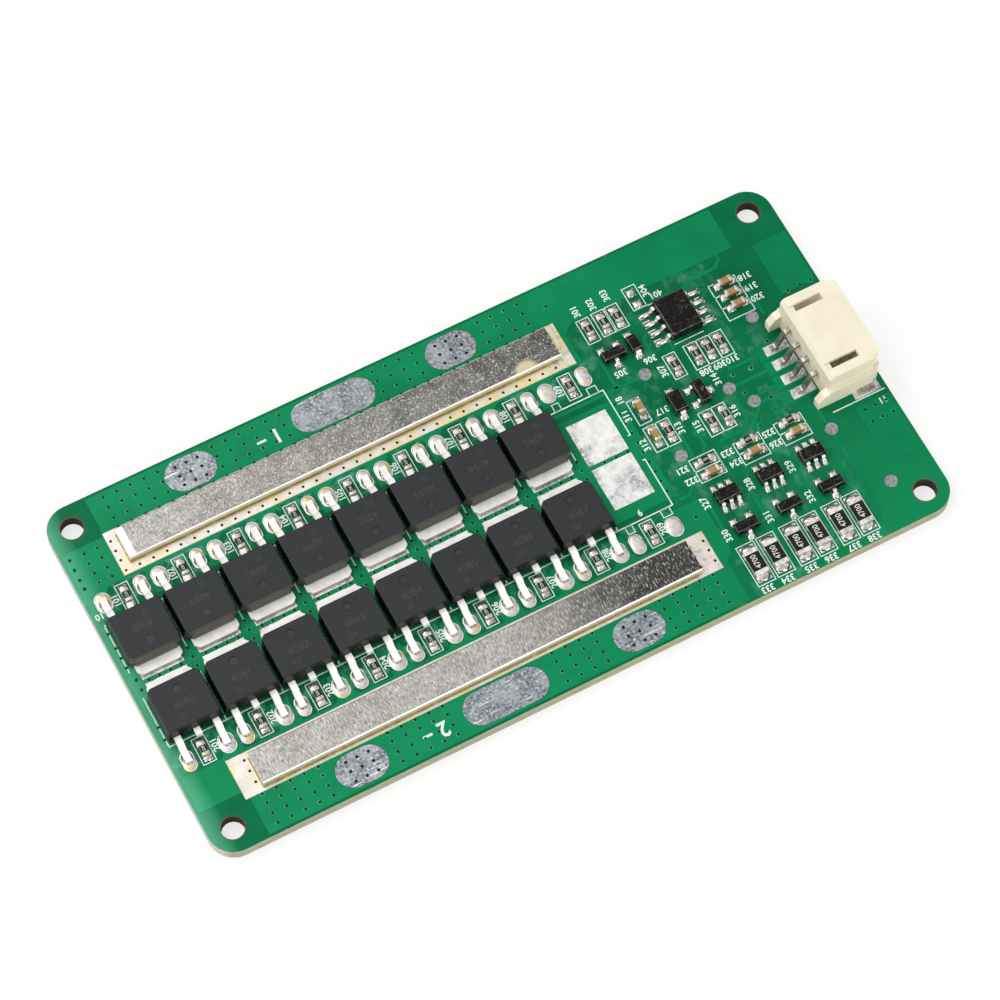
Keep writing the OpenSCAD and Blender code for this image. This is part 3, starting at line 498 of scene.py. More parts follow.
def polishedEpoxy():
    # moulded epoxy where the mould cavity is smooth: the walls mirror the board and the tab, and the grey
    # above the tab is a painted reflection of the tab
    material, tree = toMaterial("smooth_walled_epoxy")
    # painted shade: the walls' near black is darker than the top's epoxy
    plain = addNode(tree, "ValToRGB", {0: grain(tree, 0.5, 3.0)}, [(0.3, "#0c0e0e"), (0.7, "#131515")])
    aboveTab = addNode(tree, "Math", {0: facing(tree, "Y", -0.5, -0.8), 1: between(tree, "Y", -0.5, 0.5)},
                       operation="MULTIPLY")
    # painted reflection of the tab on the wall above it
    paintedTabReflection = addNode(tree, "ValToRGB", {0: grain(tree, 0.5, 4.0, 0.6, (0.3, 1.0, 5.0))},
                      [(0.3, "#3f3d38"), (0.7, "#57544e")])
    return surfaced(material, {
        "Base Color": coats(tree, plain, (aboveTab, paintedTabReflection)), "Roughness": sheen(tree, 0.4, 0.2, 0.3),
        "IOR": 1.55, "Specular IOR Level": 0.3}, grain(tree, 0.3, 2.0), 0.006)


def fluxedEpoxy():
    # small chips' epoxy under a film of dried flux: near black with thin wavy glints
    material, tree = toMaterial("flux_filmed_epoxy")
    folds = grain(tree, 1.3, 3.0, 0.55)
    colour = addNode(tree, "ValToRGB", {0: folds}, [
        (0.35, "#080707"), (0.475, "#100e0e"), (0.49, "#45423f"), (0.505, "#100e0e"), (0.64, "#080707"),
        (0.66, "#6f6c67"), (0.69, "#15120f")])
    return surfaced(material, {
        "Base Color": colour, "Roughness": addNode(tree, "MapRange", {0: folds, 3: 0.12, 4: 0.3}),
        "IOR": 1.55, "Specular IOR Level": 0.12}, folds, 0.05)


def glazedResistor():
    # thick-film chip: white alumina with a black glazed top
    material, tree = toMaterial("alumina_with_black_glaze")
    low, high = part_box("gate_resistor_bodies")
    glazeFrom = (low.z + (high.z - low.z) * 0.82) / mm
    glazed = between(tree, "Z", glazeFrom - 0.02, glazeFrom + 0.02)
    glaze = addNode(tree, "ValToRGB", {0: grain(tree, 0.3)}, [(0.3, "#0b0b0c"), (0.7, "#151413")])
    colour = coats(tree, "#d9d8d0", (glazed, glaze))
    return surfaced(material, {
        "Base Color": colour, "Roughness": 0.28, "IOR": 1.52, "Specular IOR Level": 0.2},
        grain(tree, 0.3), 0.01)


def creamNylon():
    # moulded cream nylon: soft sheen, faint flow marks
    material, tree = toMaterial("moulded_cream_nylon")
    colour = addNode(tree, "ValToRGB", {0: grain(tree, 2.5, 3.0)}, [(0.3, "#e2d8bf"), (0.7, "#e9e0ca")])
    return surfaced(material, {
        "Base Color": colour, "Roughness": sheen(tree, 0.5, 0.38, 0.5), "IOR": 1.53},
        grain(tree, 0.3, 3.0), 0.008)


finish = {
    "mask": solderMask(),
    "pour": maskOverCopper(),
    "busLand": busTin(),
    "bareLand": bareTin(),
    "wireLand": pressedTin(),
    "tab": fluxedTab(),
    "bar": nickelStrip(),
    "wallEpoxy": polishedEpoxy(),
    "smallEpoxy": fluxedEpoxy(),
    "resistor": glazedResistor(),
    "housing": creamNylon(),
    # levelled with hot air: creamy, in broad waves
    "land": hotTin("hot_air_levelled_tin", "#dfd8d2", "#cdc7bc", 1.3, 0.02, (0.25, 0.45), 0.6),
    # dented by test probes: grey and finely pitted
    "testLand": hotTin("probed_tin", "#989b9d", "#6b6e70", 0.3, 0.02, (0.35, 0.5)),
    # drops that froze fast: bright, with dark folds
    "solder": hotTin("reflowed_solder", "#dcd8d1", "#918c84", 0.5, 0.03, (0.14, 0.26), 0.9),
    # smooth pale domes
    "leadSolder": hotTin("reflowed_lead_solder", "#cbc7c3", "#aca8a3", 0.4, 0.015, (0.28, 0.4), 0.65,
                         spotted=True),
    # greyer where the solder thins out over a foot
    "fillet": hotTin("wetted_solder_fillet", "#b3afa9", "#7b7771", 0.4, 0.02, (0.22, 0.34), 0.8),
    # plated strip, formed cold: pale and even
    "lead": hotTin("tin_plated_copper_lead", "#e6e2dd", "#c2bdb6", 0.5, 0.008, (0.22, 0.34), 0.6),
    # dipped caps: dull and warm
    "chipEnd": hotTin("plated_chip_end", "#cfc6b5", "#9d9482", 0.3, 0.01, (0.25, 0.4)),
    # caps that solder ran right over: brighter
    "wideEnd": hotTin("solder_wetted_chip_end", "#e9e6e1", "#aca69d", 0.5, 0.015, (0.2, 0.36)),
    # stamped brass under thin tin: a brownish grey
    "contact": hotTin("tinned_brass_contact", "#b2ada4", "#6f6b64", 0.5, 0.01, (0.25, 0.4)),
    # screen-printed white legend: thin, matt and slightly uneven
    "ink": plainFinish("screen_printed_white_ink", 0.25, [(0.25, "#b4d3c5"), (0.55, "#e3efe9")], 0.6, 1.48,
                       2.0),
    # black transfer-moulded epoxy: fine spark-eroded grain, a dull sheen
    "epoxy": plainFinish("black_moulded_epoxy", 0.3, [(0.3, "#17191b"), (0.7, "#1e2022")], 0.5, 1.55,
                         specular=0.3, tooth=(0.09, 0.008, 2.0)),
    # the ejector pin's print: smoother than the grained top, so a little bluer
    "dimple": plainFinish("pin_printed_epoxy", 0.4, [(0.3, "#1a2025"), (0.7, "#20272d")], 0.35, 1.55, 2.0,
                          0.3),
    # painted highlight along the small chips' eased top edges, where flux also gathers
    "smallRimHighlight": plainFinish("flux_edge_painted_highlight", 0.5, [(0.35, "#252321"), (0.62, "#6c6965")], 0.2, 1.55),
    # letters burnt into the epoxy by a laser: a slightly paler, matt grey
    "mark": plainFinish("laser_marked_epoxy", 0.2, [(0.35, "#313334"), (0.7, "#3f403f")], 0.7, 1.55, 2.0,
                        0.35),
    # fired capacitor ceramic: a matt tan brown
    "capacitor": plainFinish("fired_tan_ceramic", 0.25, [(0.3, "#8d6638"), (0.7, "#a97f4a")], 0.42, 1.6,
                             tooth=(0.12, 0.006, 3.0)),
    # tented via: the drilled barrel under the lacquer, painted dark as the shade inside the hole
    "via": plainFinish("lacquered_via_barrel", 0.2, [(0.3, "#031510"), (0.7, "#072419")], 0.35,
                       specular=0.15),
    # lacquer that rides over a via's copper ring: lighter, with a gloss
    "viaRing": plainFinish("lacquered_via_ring", 0.5, [(0.3, "#12724a"), (0.5, "#17845a"), (0.72, "#3aa77c")],
                           0.2, specular=0.2),
    # pale code printed on a chip's black glaze: matt, and thin in places
    "code": plainFinish("printed_chip_code", 0.15, [(0.3, "#c9c9c4"), (0.6, "#e6e6e2")], 0.5, detail=2.0),
    # dried rosin flux beside the soldering: a yellow-brown glassy film
    "flux": plainFinish("dried_rosin_flux", 0.9, [(0.3, "#85733f"), (0.55, "#a3925f"), (0.8, "#d5cba9")],
                        0.25, 1.54, tooth=(0.4, 0.02, 3.0)),
}
print("finishes ready")


# Tools that place and shape pieces

shading = {"sharpAngle": 40, "bevelAngle": 25, "broadFace": 0.4}     # degrees, and square mm
thinPrint = {"height": 0.012, "sink": 0.004}                         # mm, and how deep it sits in its ground


def spot(x, y, lift=0.0):
    # a point over the board's top face, in mm from its free front corner
    return Vector((boardLow.x + x * mm, boardLow.y + y * mm, boardHigh.z + lift * mm))


def addPiece(name, bm, material, replaced=()):
    # its broad faces are shaded flat, and its small ones smooth
    bmesh.ops.recalc_face_normals(bm, faces=bm.faces)
    mesh = bpy.data.meshes.new(name)
    bm.to_mesh(mesh)
    bm.free()
    if "custom_normal" in mesh.attributes:
        mesh.attributes.remove(mesh.attributes["custom_normal"])
    mesh.set_sharp_from_angle(angle=math.radians(shading["sharpAngle"]))
    for polygon in mesh.polygons:
        polygon.use_smooth = polygon.area < shading["broadFace"] * mm * mm
    mesh.materials.append(finish[material])
    piece = bpy.data.objects.new(name, mesh)
    scene.collection.objects.link(piece)
    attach(piece, "root")
    if replaced:
        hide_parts(*replaced)
    return piece


def mergedCopy(nodeName):
    # a CAD node's mesh with its loose triangles joined and its flat faces whole
    bm = bmesh.new()
    bm.from_mesh(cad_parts[nodeName].data)
    bmesh.ops.remove_doubles(bm, verts=bm.verts, dist=0.0005 * mm)
    bmesh.ops.dissolve_limit(bm, angle_limit=math.radians(1), verts=bm.verts, edges=bm.edges)
    return bm


def soften(bm, width, shortest, segments=2, keep=None):
    # rounds the outer edges that are at least `shortest` mm long by `width` mm
    edges = []
    for edge in bm.edges:
        if len(edge.link_faces) != 2 or not edge.is_convex or edge.calc_length() < shortest * mm:
            continue
        if edge.calc_face_angle(0) < math.radians(shading["bevelAngle"]):
            continue
        if keep is None or keep(edge):
            edges.append(edge)
    bmesh.ops.bevel(bm, geom=edges, offset=width * mm, offset_type="OFFSET", segments=segments, profile=0.5,
                    affect="EDGES", clamp_overlap=True, material=-1)


def islands(nodeName):
    # the separate solids of a node as (lowest corner, highest corner) in mm from the free front corner
    bm = mergedCopy(nodeName)
    waiting = set(bm.verts)
    boxes = []
    while waiting:
        reached = [waiting.pop()]
        for vert in reached:
            for edge in vert.link_edges:
                other = edge.other_vert(vert)
                if other in waiting:
                    waiting.discard(other)
                    reached.append(other)
        points = [(v.co - Vector((boardLow.x, boardLow.y, boardHigh.z))) / mm for v in reached]
        low = Vector([min(p[i] for p in points) for i in range(3)])
        high = Vector([max(p[i] for p in points) for i in range(3)])
        boxes.append((low, high))
    bm.free()
    return sorted(boxes, key=lambda b: (round(b[0].x, 1), round(b[0].y, 1)))


def middle(box):
    return (box[0] + box[1]) / 2


def extent(box):
    return box[1] - box[0]


def thicken(bm, faces, height):
    # gives flat faces a thickness of `height` mm upwards
    made = bmesh.ops.extrude_face_region(bm, geom=faces)["geom"]
    verts = [g for g in made if isinstance(g, bmesh.types.BMVert)]
    bmesh.ops.translate(bm, verts=verts, vec=(0, 0, height * mm))


def plate(bm, corners, height, lift=0.0):
    face = bm.faces.new([bm.verts.new(spot(x, y, lift)) for x, y in corners])
    thicken(bm, [face], height)


def rectangle(x0, y0, x1, y1):
    return [(x0, y0), (x1, y0), (x1, y1), (x0, y1)]


def strip(bm, path, width, height, lift=0.0):
    # a flat strip along a path, mitred at its corners
    points = [spot(x, y, lift) for x, y in path]
    runs = [(b - a).normalized() for a, b in zip(points, points[1:])]

    def across(i):
        before = runs[max(i - 1, 0)]
        after = runs[min(i, len(runs) - 1)]
        along = (before + after).normalized()
        return Vector((-along.y, along.x, 0)) * (width * mm / 2 / max(along.dot(after), 0.35))

    ends = [bm.verts.new(points[0] - across(0)), bm.verts.new(points[0] + across(0))]
    faces = []
    edge = bm.edges.new(ends)
    for i in range(1, len(points)):
        made = bmesh.ops.extrude_edge_only(bm, edges=[edge])["geom"]
        edge = next(g for g in made if isinstance(g, bmesh.types.BMEdge) and g not in ends[0].link_edges
                    and g not in ends[1].link_edges)
        faces += [g for g in made if isinstance(g, bmesh.types.BMFace)]
        fresh = sorted(edge.verts, key=lambda v: (v.co - ends[0].co).length)
        fresh[0].co = points[i] - across(i)
        fresh[1].co = points[i] + across(i)
        ends = fresh
    thicken(bm, faces, height)


def frameLine(bm, x0, y0, x1, y1, width, height):
    # a printed rectangle, its middle left open
    face = bm.faces.new([bm.verts.new(spot(x, y)) for x, y in rectangle(x0, y0, x1, y1)])
    face.normal_update()
    ring = bmesh.ops.inset_individual(bm, faces=[face], thickness=width * mm)["faces"]
    bmesh.ops.delete(bm, geom=[face], context="FACES_ONLY")
    thicken(bm, ring, height)


def disc(bm, x, y, diameter, height, lift=0.0, sides=12, taper=0.85):
    place = Matrix.Translation(spot(x, y, lift + height / 2))
    bmesh.ops.create_cone(bm, cap_ends=True, segments=sides, radius1=diameter * mm / 2,
                          radius2=diameter * mm / 2 * taper, depth=height * mm, matrix=place)


def bead(bm, x, y, size, lift, wobble, sides=16):
    # a domed drop of solder on a land, flat underneath
    made = bmesh.ops.create_uvsphere(bm, u_segments=sides, v_segments=sides // 2, radius=1)["verts"]
    for vert in made:
        vert.co.z = max(vert.co.z, 0.0)
        if vert.co.z > 0:
            vert.co *= 1 + chance.uniform(-wobble, wobble)
    shape = Matrix.Diagonal((size[0] * mm / 2, size[1] * mm / 2, size[2] * mm, 1))
    bmesh.ops.transform(bm, matrix=Matrix.Translation(spot(x, y, lift)) @ shape, verts=made)


def number(bm, text, x, y, size, turn, height, lift=0.0, aspect=1.0, weight=0.0):
    # a printed or marked number, made a mesh before it is placed
    curve = bpy.data.curves.new("number", "FONT")
    curve.body = text
    curve.align_x = "CENTER"
    curve.align_y = "CENTER"
    curve.extrude = 0.5
    curve.offset = weight
    curve.resolution_u = 2
    holder = bpy.data.objects.new("number", curve)
    mesh = bpy.data.meshes.new_from_object(holder)
    place = Matrix.Translation(spot(x, y, lift + height / 2)) @ Matrix.Rotation(math.radians(turn), 4, "Z")
    mesh.transform(place @ Matrix.Diagonal((size * aspect * mm, size * mm, height * mm, 1)))
    bm.from_mesh(mesh)
    bpy.data.meshes.remove(mesh)
    bpy.data.objects.remove(holder)
    bpy.data.curves.remove(curve)


# Stations of the two rows of power transistors, read from their bodies in the model

transistorCount = 16
bodies = [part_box("mosfet_body_%d" % k) for k in range(1, transistorCount + 1)]
stationPitch = (bodies[1][0].x - bodies[0][0].x) / mm
firstStation = ((bodies[0][0].x + bodies[0][1].x) / 2 - boardLow.x) / mm
stations = [firstStation + k * stationPitch for k in range(9)]      # the last place of each row is bare


def bodyPlaces():
    # x, y and top of each transistor body in mm, and 1 in the lower row or -1 in the upper one
    for k, (low, high) in enumerate(bodies):
        centre = ((low + high) / 2 - boardLow) / mm
        yield centre.x, centre.y, (high.z - boardHigh.z) / mm, 1 if k < transistorCount / 2 else -1


copper = {
    "height": 0.035,
    "landEdge": {"lower": 10.3, "upper": 34.1},      # where the bus side pours open into bays
    "bay": (-3.35, 1.4),                             # bare bay round a gate lead and its resistor
    "bayDepth": 3.2,
    "bayCut": 0.45,
    "trackWidth": 0.42,
    "trackHeight": 0.02975,
}


def busPour(bm, lower):
    # copper round a bus land, with a tongue to each source lead
    edge = copper["landEdge"]["lower" if lower else "upper"]
    side = 1 if lower else -1
    mouth = edge + copper["bayDepth"] * side
    cut = copper["bayCut"]
    left, right = copper["bay"] if lower else (-copper["bay"][1], -copper["bay"][0])
    comb = []
    for x in stations:
        comb += [(x + left, mouth), (x + left, edge + cut * side), (x + left + cut, edge),
                 (x + right - cut, edge), (x + right, edge + cut * side), (x + right, mouth)]
    if lower:
        outline = [(0.4, edge)] + comb[3:]
        outline += [(64.9, mouth), (64.9, 6.4), (63.9, 5.4), (63.9, 0.3), (5.9, 0.3), (5.9, 5.2), (5.3, 5.9),
                    (0.4, 5.9)]
    else:
        outline = [(0.4, mouth)] + comb[:-3]
        outline += [(61.6, edge), (61.6, 38.0), (62.7, 39.1), (83.1, 39.1), (83.4, 39.4), (83.4, 44.7),
                    (5.5, 44.7), (5.5, 39.7), (0.4, 39.7)]
    plate(bm, outline, copper["height"])


def copperPours():
    bm = bmesh.new()
    busPour(bm, True)
    busPour(bm, False)
    drains = [(0.4, 14.3), (55.3, 14.3), (55.3, 14.9), (62.9, 14.9), (62.9, 28.6), (55.3, 28.6), (55.3, 30.0),
              (0.4, 30.0)]
    plate(bm, drains, copper["height"])
    for y0, y1 in ((7.45, 15.1), (31.25, 38.3)):
        plate(bm, rectangle(85.4, y0, 89.7, y1), copper["height"])
    for box in islands("part_lands"):
        size = extent(box)
        if size.x > 2.5 and size.y < 1.4 and 78 < middle(box).x < 85:      # the socket's four lead lands
            plate(bm, rectangle(79.1, box[0].y - 0.3, box[1].x, box[1].y + 0.3), copper["height"])
    addPiece("copper_pours", bm, "pour")


tracks = [                       # mm
    [(55.2, 29.5), (66.3, 29.5)],
    [(62.9, 14.3), (64.1, 14.3), (68.6, 18.8), (68.6, 21.5), (69.4, 22.3)],
    [(70.2, 18.5), (73.3, 18.5), (74.4, 19.6), (74.4, 23.7)],
    [(76.3, 36.9), (77.1, 37.7), (80.4, 37.7), (81.3, 38.6), (81.3, 40.0)],
    [(81.75, 16.9), (81.75, 3.0), (80.7, 1.9), (79.6, 1.9)],
    [(79.2, 23.7), (74.4, 23.7)],
    [(79.2, 21.7), (76.1, 21.5)],
    [(79.2, 25.8), (75.6, 25.8), (75.6, 27.3)],
    [(79.2, 19.6), (77.9, 20.6), (77.9, 17.6)],
    [(72.1, 27.3), (72.1, 24.8)],
    [(71.4, 30.8), (71.4, 33.0)],
    [(74.4, 17.6), (74.4, 18.4), (76.6, 20.6), (77.9, 20.6)],
    [(63.4, 29.5), (63.4, 33.2), (64.6, 34.4)],
    [(66.8, 17.9), (66.8, 24.2), (67.9, 25.3)],
    [(69.9, 2.3), (70.3, 2.7), (70.3, 12.9), (71.2, 13.8), (71.2, 17.6)],
    [(75.6, 2.3), (76.0, 2.7), (76.0, 12.9), (76.8, 13.7)],
    [(65.4, 7.2), (65.4, 12.4), (66.2, 13.2)],
    [(68.9, 31.2), (68.9, 33.4), (69.6, 34.1)],
    [(82.4, 30.0), (82.4, 33.6), (81.6, 34.4)],
]


def signalTracks():
    bm = bmesh.new()
    for path in tracks:
        strip(bm, path, copper["trackWidth"], copper["trackHeight"])
    addPiece("copper_tracks", bm, "pour")


# Vias: a raised lacquered ring with a dark barrel in it, the barrel's dark being painted shade

viaSize = {                      # mm
    "ring": 0.66,
    "ringHeight": 0.05,
    "barrel": 0.36,
    "pressedBarrel": 0.42,
    "pitch": 1.65,
    "clear": 0.3,                # kept free round a wire land
}


def viaPlaces():
    pitch, clear = viaSize["pitch"], viaSize["clear"]
    places = [(7.4 + pitch * k, row) for row in (44.0, 42.65, 41.25, 40.0) for k in range(32)]
    places += [(5.85 + pitch * k, 34.9) for k in range(33)]
    places += [(5.85, y) for y in (36.25, 37.5, 38.8)]
    places += [(x, y) for x in (0.9, 2.65, 4.2) for y in (35.0, 36.2, 37.5, 38.8)]
    for row in (3.65, 2.35, 1.1, 4.75):
        places += [(7.25 + pitch * k, row) for k in range(34) if not 13 < k < 21 or row > 4]
    places += [(7.25, y) for y in (6.3, 7.7, 9.05)]
    places += [(x, y) for x in (61.0, 62.75) for y in (6.1, 7.5, 8.75)]
    for x in stations[:8]:
        places += [(x + dx, 22.15) for dx in (-1.95, -0.65, 0.65, 1.95)]
        places += [(x + stationPitch / 2, y) for y in (21.25, 22.4, 23.55)]
    places += [(62.2, 15.9 + 1.33 * k) for k in range(10)]
    places += [(57.85, 22.1), (59.25, 22.1), (60.7, 22.1), (61.3, 42.25), (81.0, 26.9), (75.6, 25.0),
               (77.75, 24.8), (75.65, 22.45), (77.9, 20.6), (63.45, 11.65), (1.2, 22.75), (1.2, 21.45)]
    places += [(x, 31.4) for x in (86.2, 87.8, 89.1)]
    places += [(x, y) for x in (86.35, 87.65, 89.0) for y in (12.8, 14.4)]
    places += [(0.85, y) for y in (15.1, 16.7, 24.5, 25.8, 27.1, 29.0)]
    covered = islands("wire_lands")
    return [(x, y) for x, y in places
            if not any(low.x - clear < x < high.x + clear and low.y - clear < y < high.y + clear
                       for low, high in covered)]


def vias():
    rings = bmesh.new()
    barrels = bmesh.new()
    lands = islands("bus_lands")
    for x, y in viaPlaces():
        onLand = any(low.x < x < high.x and low.y < y < high.y for low, high in lands)
        top = lands[0][1].z if onLand else viaSize["ringHeight"]
        if not onLand:
            disc(rings, x, y, viaSize["ring"], top, taper=0.75)
        disc(barrels, x, y, viaSize["barrel"], thinPrint["height"], top - thinPrint["sink"], sides=8)
    addPiece("via_rings", rings, "viaRing")
    addPiece("via_barrels", barrels, "via")


def wireLandVias():
    # three by three vias pressed into each short wire land, their barrels painted dark as the shade in their
    # holes
    bm = bmesh.new()
    for box in islands("wire_lands"):
        if extent(box).x < 8:
            centre = middle(box)
            for dx in (-1.35, 0, 1.35):
                for dy in (-1.2, 0, 1.2):
                    disc(bm, centre.x + dx, centre.y + dy, viaSize["pressedBarrel"], thinPrint["height"],
                         box[1].z - thinPrint["sink"], sides=10)
    addPiece("wire_land_vias", bm, "via")


# White legend

legend = {
    "line": 0.13,                # mm
    "height": 0.055,
    "digit": 1.1,
    "weight": 0.018,
    "boxes": [(63.25, 35.65, 64.85, 38.95), (65.2, 35.75, 66.8, 39.05), (66.9, 35.75, 68.5, 39.05),
              (69.65, 27.35, 71.25, 30.65), (72.3, 27.3, 77.2, 30.7), (69.7, 19.3, 73.0, 22.6),
              (78.5, 31.0, 81.9, 36.0), (63.4, 24.2, 65.0, 27.55), (63.45, 20.45, 66.6, 23.8),
              (66.0, 14.85, 69.25, 18.0), (71.3, 14.55, 74.6, 17.55), (76.4, 14.55, 79.85, 17.55),
              (69.7, 37.1, 71.4, 40.2)],
    "upright": [(73.95, 27.3, 30.7), (75.6, 27.3, 30.7), (71.35, 19.3, 22.6), (65.0, 20.45, 23.8)],
    "level": [(78.5, 81.9, 32.7), (78.5, 81.9, 34.3), (66.0, 69.25, 16.4), (71.3, 74.6, 16.05),
              (76.4, 79.85, 16.05), (83.05, 89.6, 15.75), (69.8, 70.7, 32.7), (69.8, 70.7, 34.0),
              (69.8, 70.7, 35.3), (76.4, 77.0, 32.7), (76.4, 77.0, 34.0), (76.4, 77.0, 35.3)],
    "firstPart": 301,            # the small parts are numbered on from here, in this order
    "parts": [(63.9, 40.1, 90), (65.9, 40.1, 90), (67.8, 40.4, 90), (72.0, 38.9, 90), (64.7, 31.0, 180),
              (68.4, 31.0, 180), (69.0, 29.0, 90), (73.2, 26.8, 180), (74.9, 26.8, 180), (76.5, 26.8, 180),
              (62.7, 26.0, 90), (62.8, 21.9, 90), (67.2, 22.0, 90), (73.7, 25.4, 90), (69.1, 21.2, 90),
              (73.6, 21.0, 90), (66.5, 24.8, 180), (82.8, 35.3, 180), (82.8, 33.8, 180), (82.8, 32.3, 180),
              (64.9, 17.3, 180), (65.2, 15.7, 180), (70.3, 16.9, 180), (70.6, 15.4, 180), (75.5, 16.9, 180),
              (75.6, 15.4, 180), (65.2, 12.6, 90), (70.6, 12.4, 90), (75.6, 12.2, 90), (65.4, 8.1, 90),
              (70.5, 8.0, 90), (75.7, 8.0, 90), (66.2, 0.55, 180), (68.7, 0.55, 180), (71.6, 0.55, 180),
              (74.1, 0.55, 180), (77.0, 0.55, 180), (79.5, 0.55, 180)],
    "others": [("401", 72.9, 37.9, 180), ("11", 88.7, 14.6, 180), ("9", 58.3, 15.0, 180),
               ("18", 63.0, 28.0, 90), ("10", 0.95, 31.3, 180)],
    "sides": [("1", 41.95), ("2", 2.45)],        # the two bus sides' large numbers
    "sideDigit": 2.53,
}


def legendLines():
    bm = bmesh.new()
    line, height = legend["line"], legend["height"]
    for box in islands("gate_resistor_bodies"):
        x, y = middle(box).xy
        frameLine(bm, x - 0.8, y - 1.65, x + 0.8, y + 1.65, line, height)
    for corners in legend["boxes"]:
        frameLine(bm, *corners, line, height)
    for box in islands("balance_resistor_bodies"):
        x, y = middle(box).xy
        frameLine(bm, x - 1.1, 1.1, x + 1.1, 6.35, line, height)
    for x, y0, y1 in legend["upright"]:
        strip(bm, [(x, y0), (x, y1)], line, height)
    for x0, x1, y in legend["level"]:
        strip(bm, [(x0, y), (x1, y)], line, height)
    for x0, x1, y in ((71.4, 75.0, 37.05), (71.7, 75.4, 31.32)):       # finer, beside the control chip
        strip(bm, [(x0, y), (x1, y)], line * 0.8, height)
    for station in stations:                                           # between the transistors
        x = station - stationPitch / 2
        strip(bm, [(x, 29.9), (x, 23.8)], line, height)
        strip(bm, [(x, 20.5), (x, 14.15)], line, height)
    last = stations[-1]
    for side, top in ((1, 30.05), (-1, 14.15)):                        # round each row
        strip(bm, [(stations[0] - 3.4, top), (last + 3.41, top), (last + 3.41, top - side * 6.25),
                   (last + 3.1, top - side * 6.25)], line, height)
        for x0, x1 in ((last - 2.6, last - 1.7), (last + 1.75, last + 2.95)):
            frameLine(bm, x0, min(top, top + side), x1, max(top, top + side), line, height)
    addPiece("printed_outlines", bm, "ink")


def legendNumbers():
    bm = bmesh.new()

    def put(text, x, y, turn, size=legend["digit"]):
        number(bm, text, x, y, size, turn, legend["height"], aspect=0.95, weight=legend["weight"])

    for box in islands("gate_resistor_bodies"):
        x, y = middle(box).xy
        station = round((x - firstStation) / stationPitch)
        lower = y < boardMiddle
        put(str((201 if lower else 101) + station), x + (1.35 if lower else -1.25), y, 90)
    for k, (x, y, turn) in enumerate(legend["parts"]):
        put(str(legend["firstPart"] + k), x, y, turn)
    for text, x, y, turn in legend["others"]:
        put(text, x, y, turn)
    for text, y in legend["sides"]:
        put(text, 27.6, y, 180, legend["sideDigit"])
        strip(bm, [(25.2, y), (26.3, y)], 0.28, legend["height"])
    addPiece("printed_numbers", bm, "ink")


copperPours()
signalTracks()
vias()
wireLandVias()
legendLines()
legendNumbers()
print("board face ready")


# Lands, bars and solder

landFinish = {
    "wire_lands": "wireLand",
    "bus_lands": "busLand",
    "drain_lands": "bareLand",
    "lead_lands": "land",
    "part_lands": "bareLand",
}


def tinnedLands():
    for nodeName, material in landFinish.items():
        bm = mergedCopy(nodeName)
        top = max(v.co.z for v in bm.verts)
        soften(bm, 0.05, 0.1, keep=lambda edge: min(v.co.z for v in edge.verts) > top - 0.01 * mm)
        addPiece("tinned_" + nodeName, bm, material, (nodeName,))


leadDrop = {
    "cover": 0.97,               # share of its land
    "height": 0.13,              # mm
    "fillet": (1.26, 1.7, 0.34),
    "filletInward": 0.35,
}


def leadSolder():
    # a dome on each lead land, and the fillet that climbs the foot of each fitted lead
    domes = bmesh.new()
    for box in islands("lead_lands"):
        x, y = middle(box).xy
        size = extent(box) * leadDrop["cover"]
        bead(domes, x, y, (size.x, size.y, leadDrop["height"]), box[1].z - 0.02, 0.01, 24)
    addPiece("lead_solder_domes", domes, "leadSolder", ("lead_solder",))
    fillets = bmesh.new()
    for box in islands("lead_lands"):
        x, y = middle(box).xy
        inward = leadDrop["filletInward"] if y < boardMiddle else -leadDrop["filletInward"]
        if x < stations[-1] - stationPitch / 2:
            bead(fillets, x, y + inward, leadDrop["fillet"], box[1].z, 0.02, 20)
    addPiece("lead_foot_fillets", fillets, "fillet")


chipDrop = {                     # mm
    "cover": 1.1,                # share of its land
    "height": (0.16, 0.34),      # on small and on larger lands
    "largerFrom": 1.2,
    "testFrom": 1.3,             # a test land is at least this wide, and as long as it is wide
    "longest": 2.5,              # the socket's lands get none
}


def chipSolder():
    # drops on the small parts' lands, and flat tin on the round test lands
    drops = bmesh.new()
    tested = bmesh.new()
    for box in islands("part_lands"):
        size = extent(box)
        x, y = middle(box).xy
        if abs(size.x - size.y) < 0.02 and size.x > chipDrop["testFrom"]:
            disc(tested, x, y, size.x * 0.98, 0.03, box[1].z - 0.002, sides=32, taper=0.97)
        elif size.x < chipDrop["longest"]:
            tall = chipDrop["height"][max(size.x, size.y) > chipDrop["largerFrom"]]
            bead(drops, x, y, (size.x * chipDrop["cover"], size.y * chipDrop["cover"], tall),
                 box[1].z - 0.01, 0.04)
    addPiece("chip_solder", drops, "solder")
    addPiece("test_land_tin", tested, "testLand")


fluxBead = {"width": 0.16, "height": 0.06}       # mm


def fluxLines():
    # dried flux that crept out along the bars' front edges and free ends
    bm = bmesh.new()
    landTop = islands("bus_lands")[0][1].z
    half = fluxBead["width"] / 2
    for nodeName in ("upper_bus_bar", "lower_bus_bar"):
        low, high = islands(nodeName)[0]
        path = [(low.x - half, high.y - 0.3), (low.x - half, low.y - half), (high.x - 0.4, low.y - half)]
        strip(bm, path, fluxBead["width"], fluxBead["height"], landTop)
    addPiece("dried_flux_lines", bm, "flux")


resistor = {
    "codes": {"gate": ("220", 0.46), "signal": ("470", 0.46), "balance": ("4700", 0.95)},    # text and size
    "shoulder": 0.07,            # mm of bare alumina beside an end cap
    "inset": 0.02,
}


def isUpright(box):
    return extent(box).y > extent(box).x


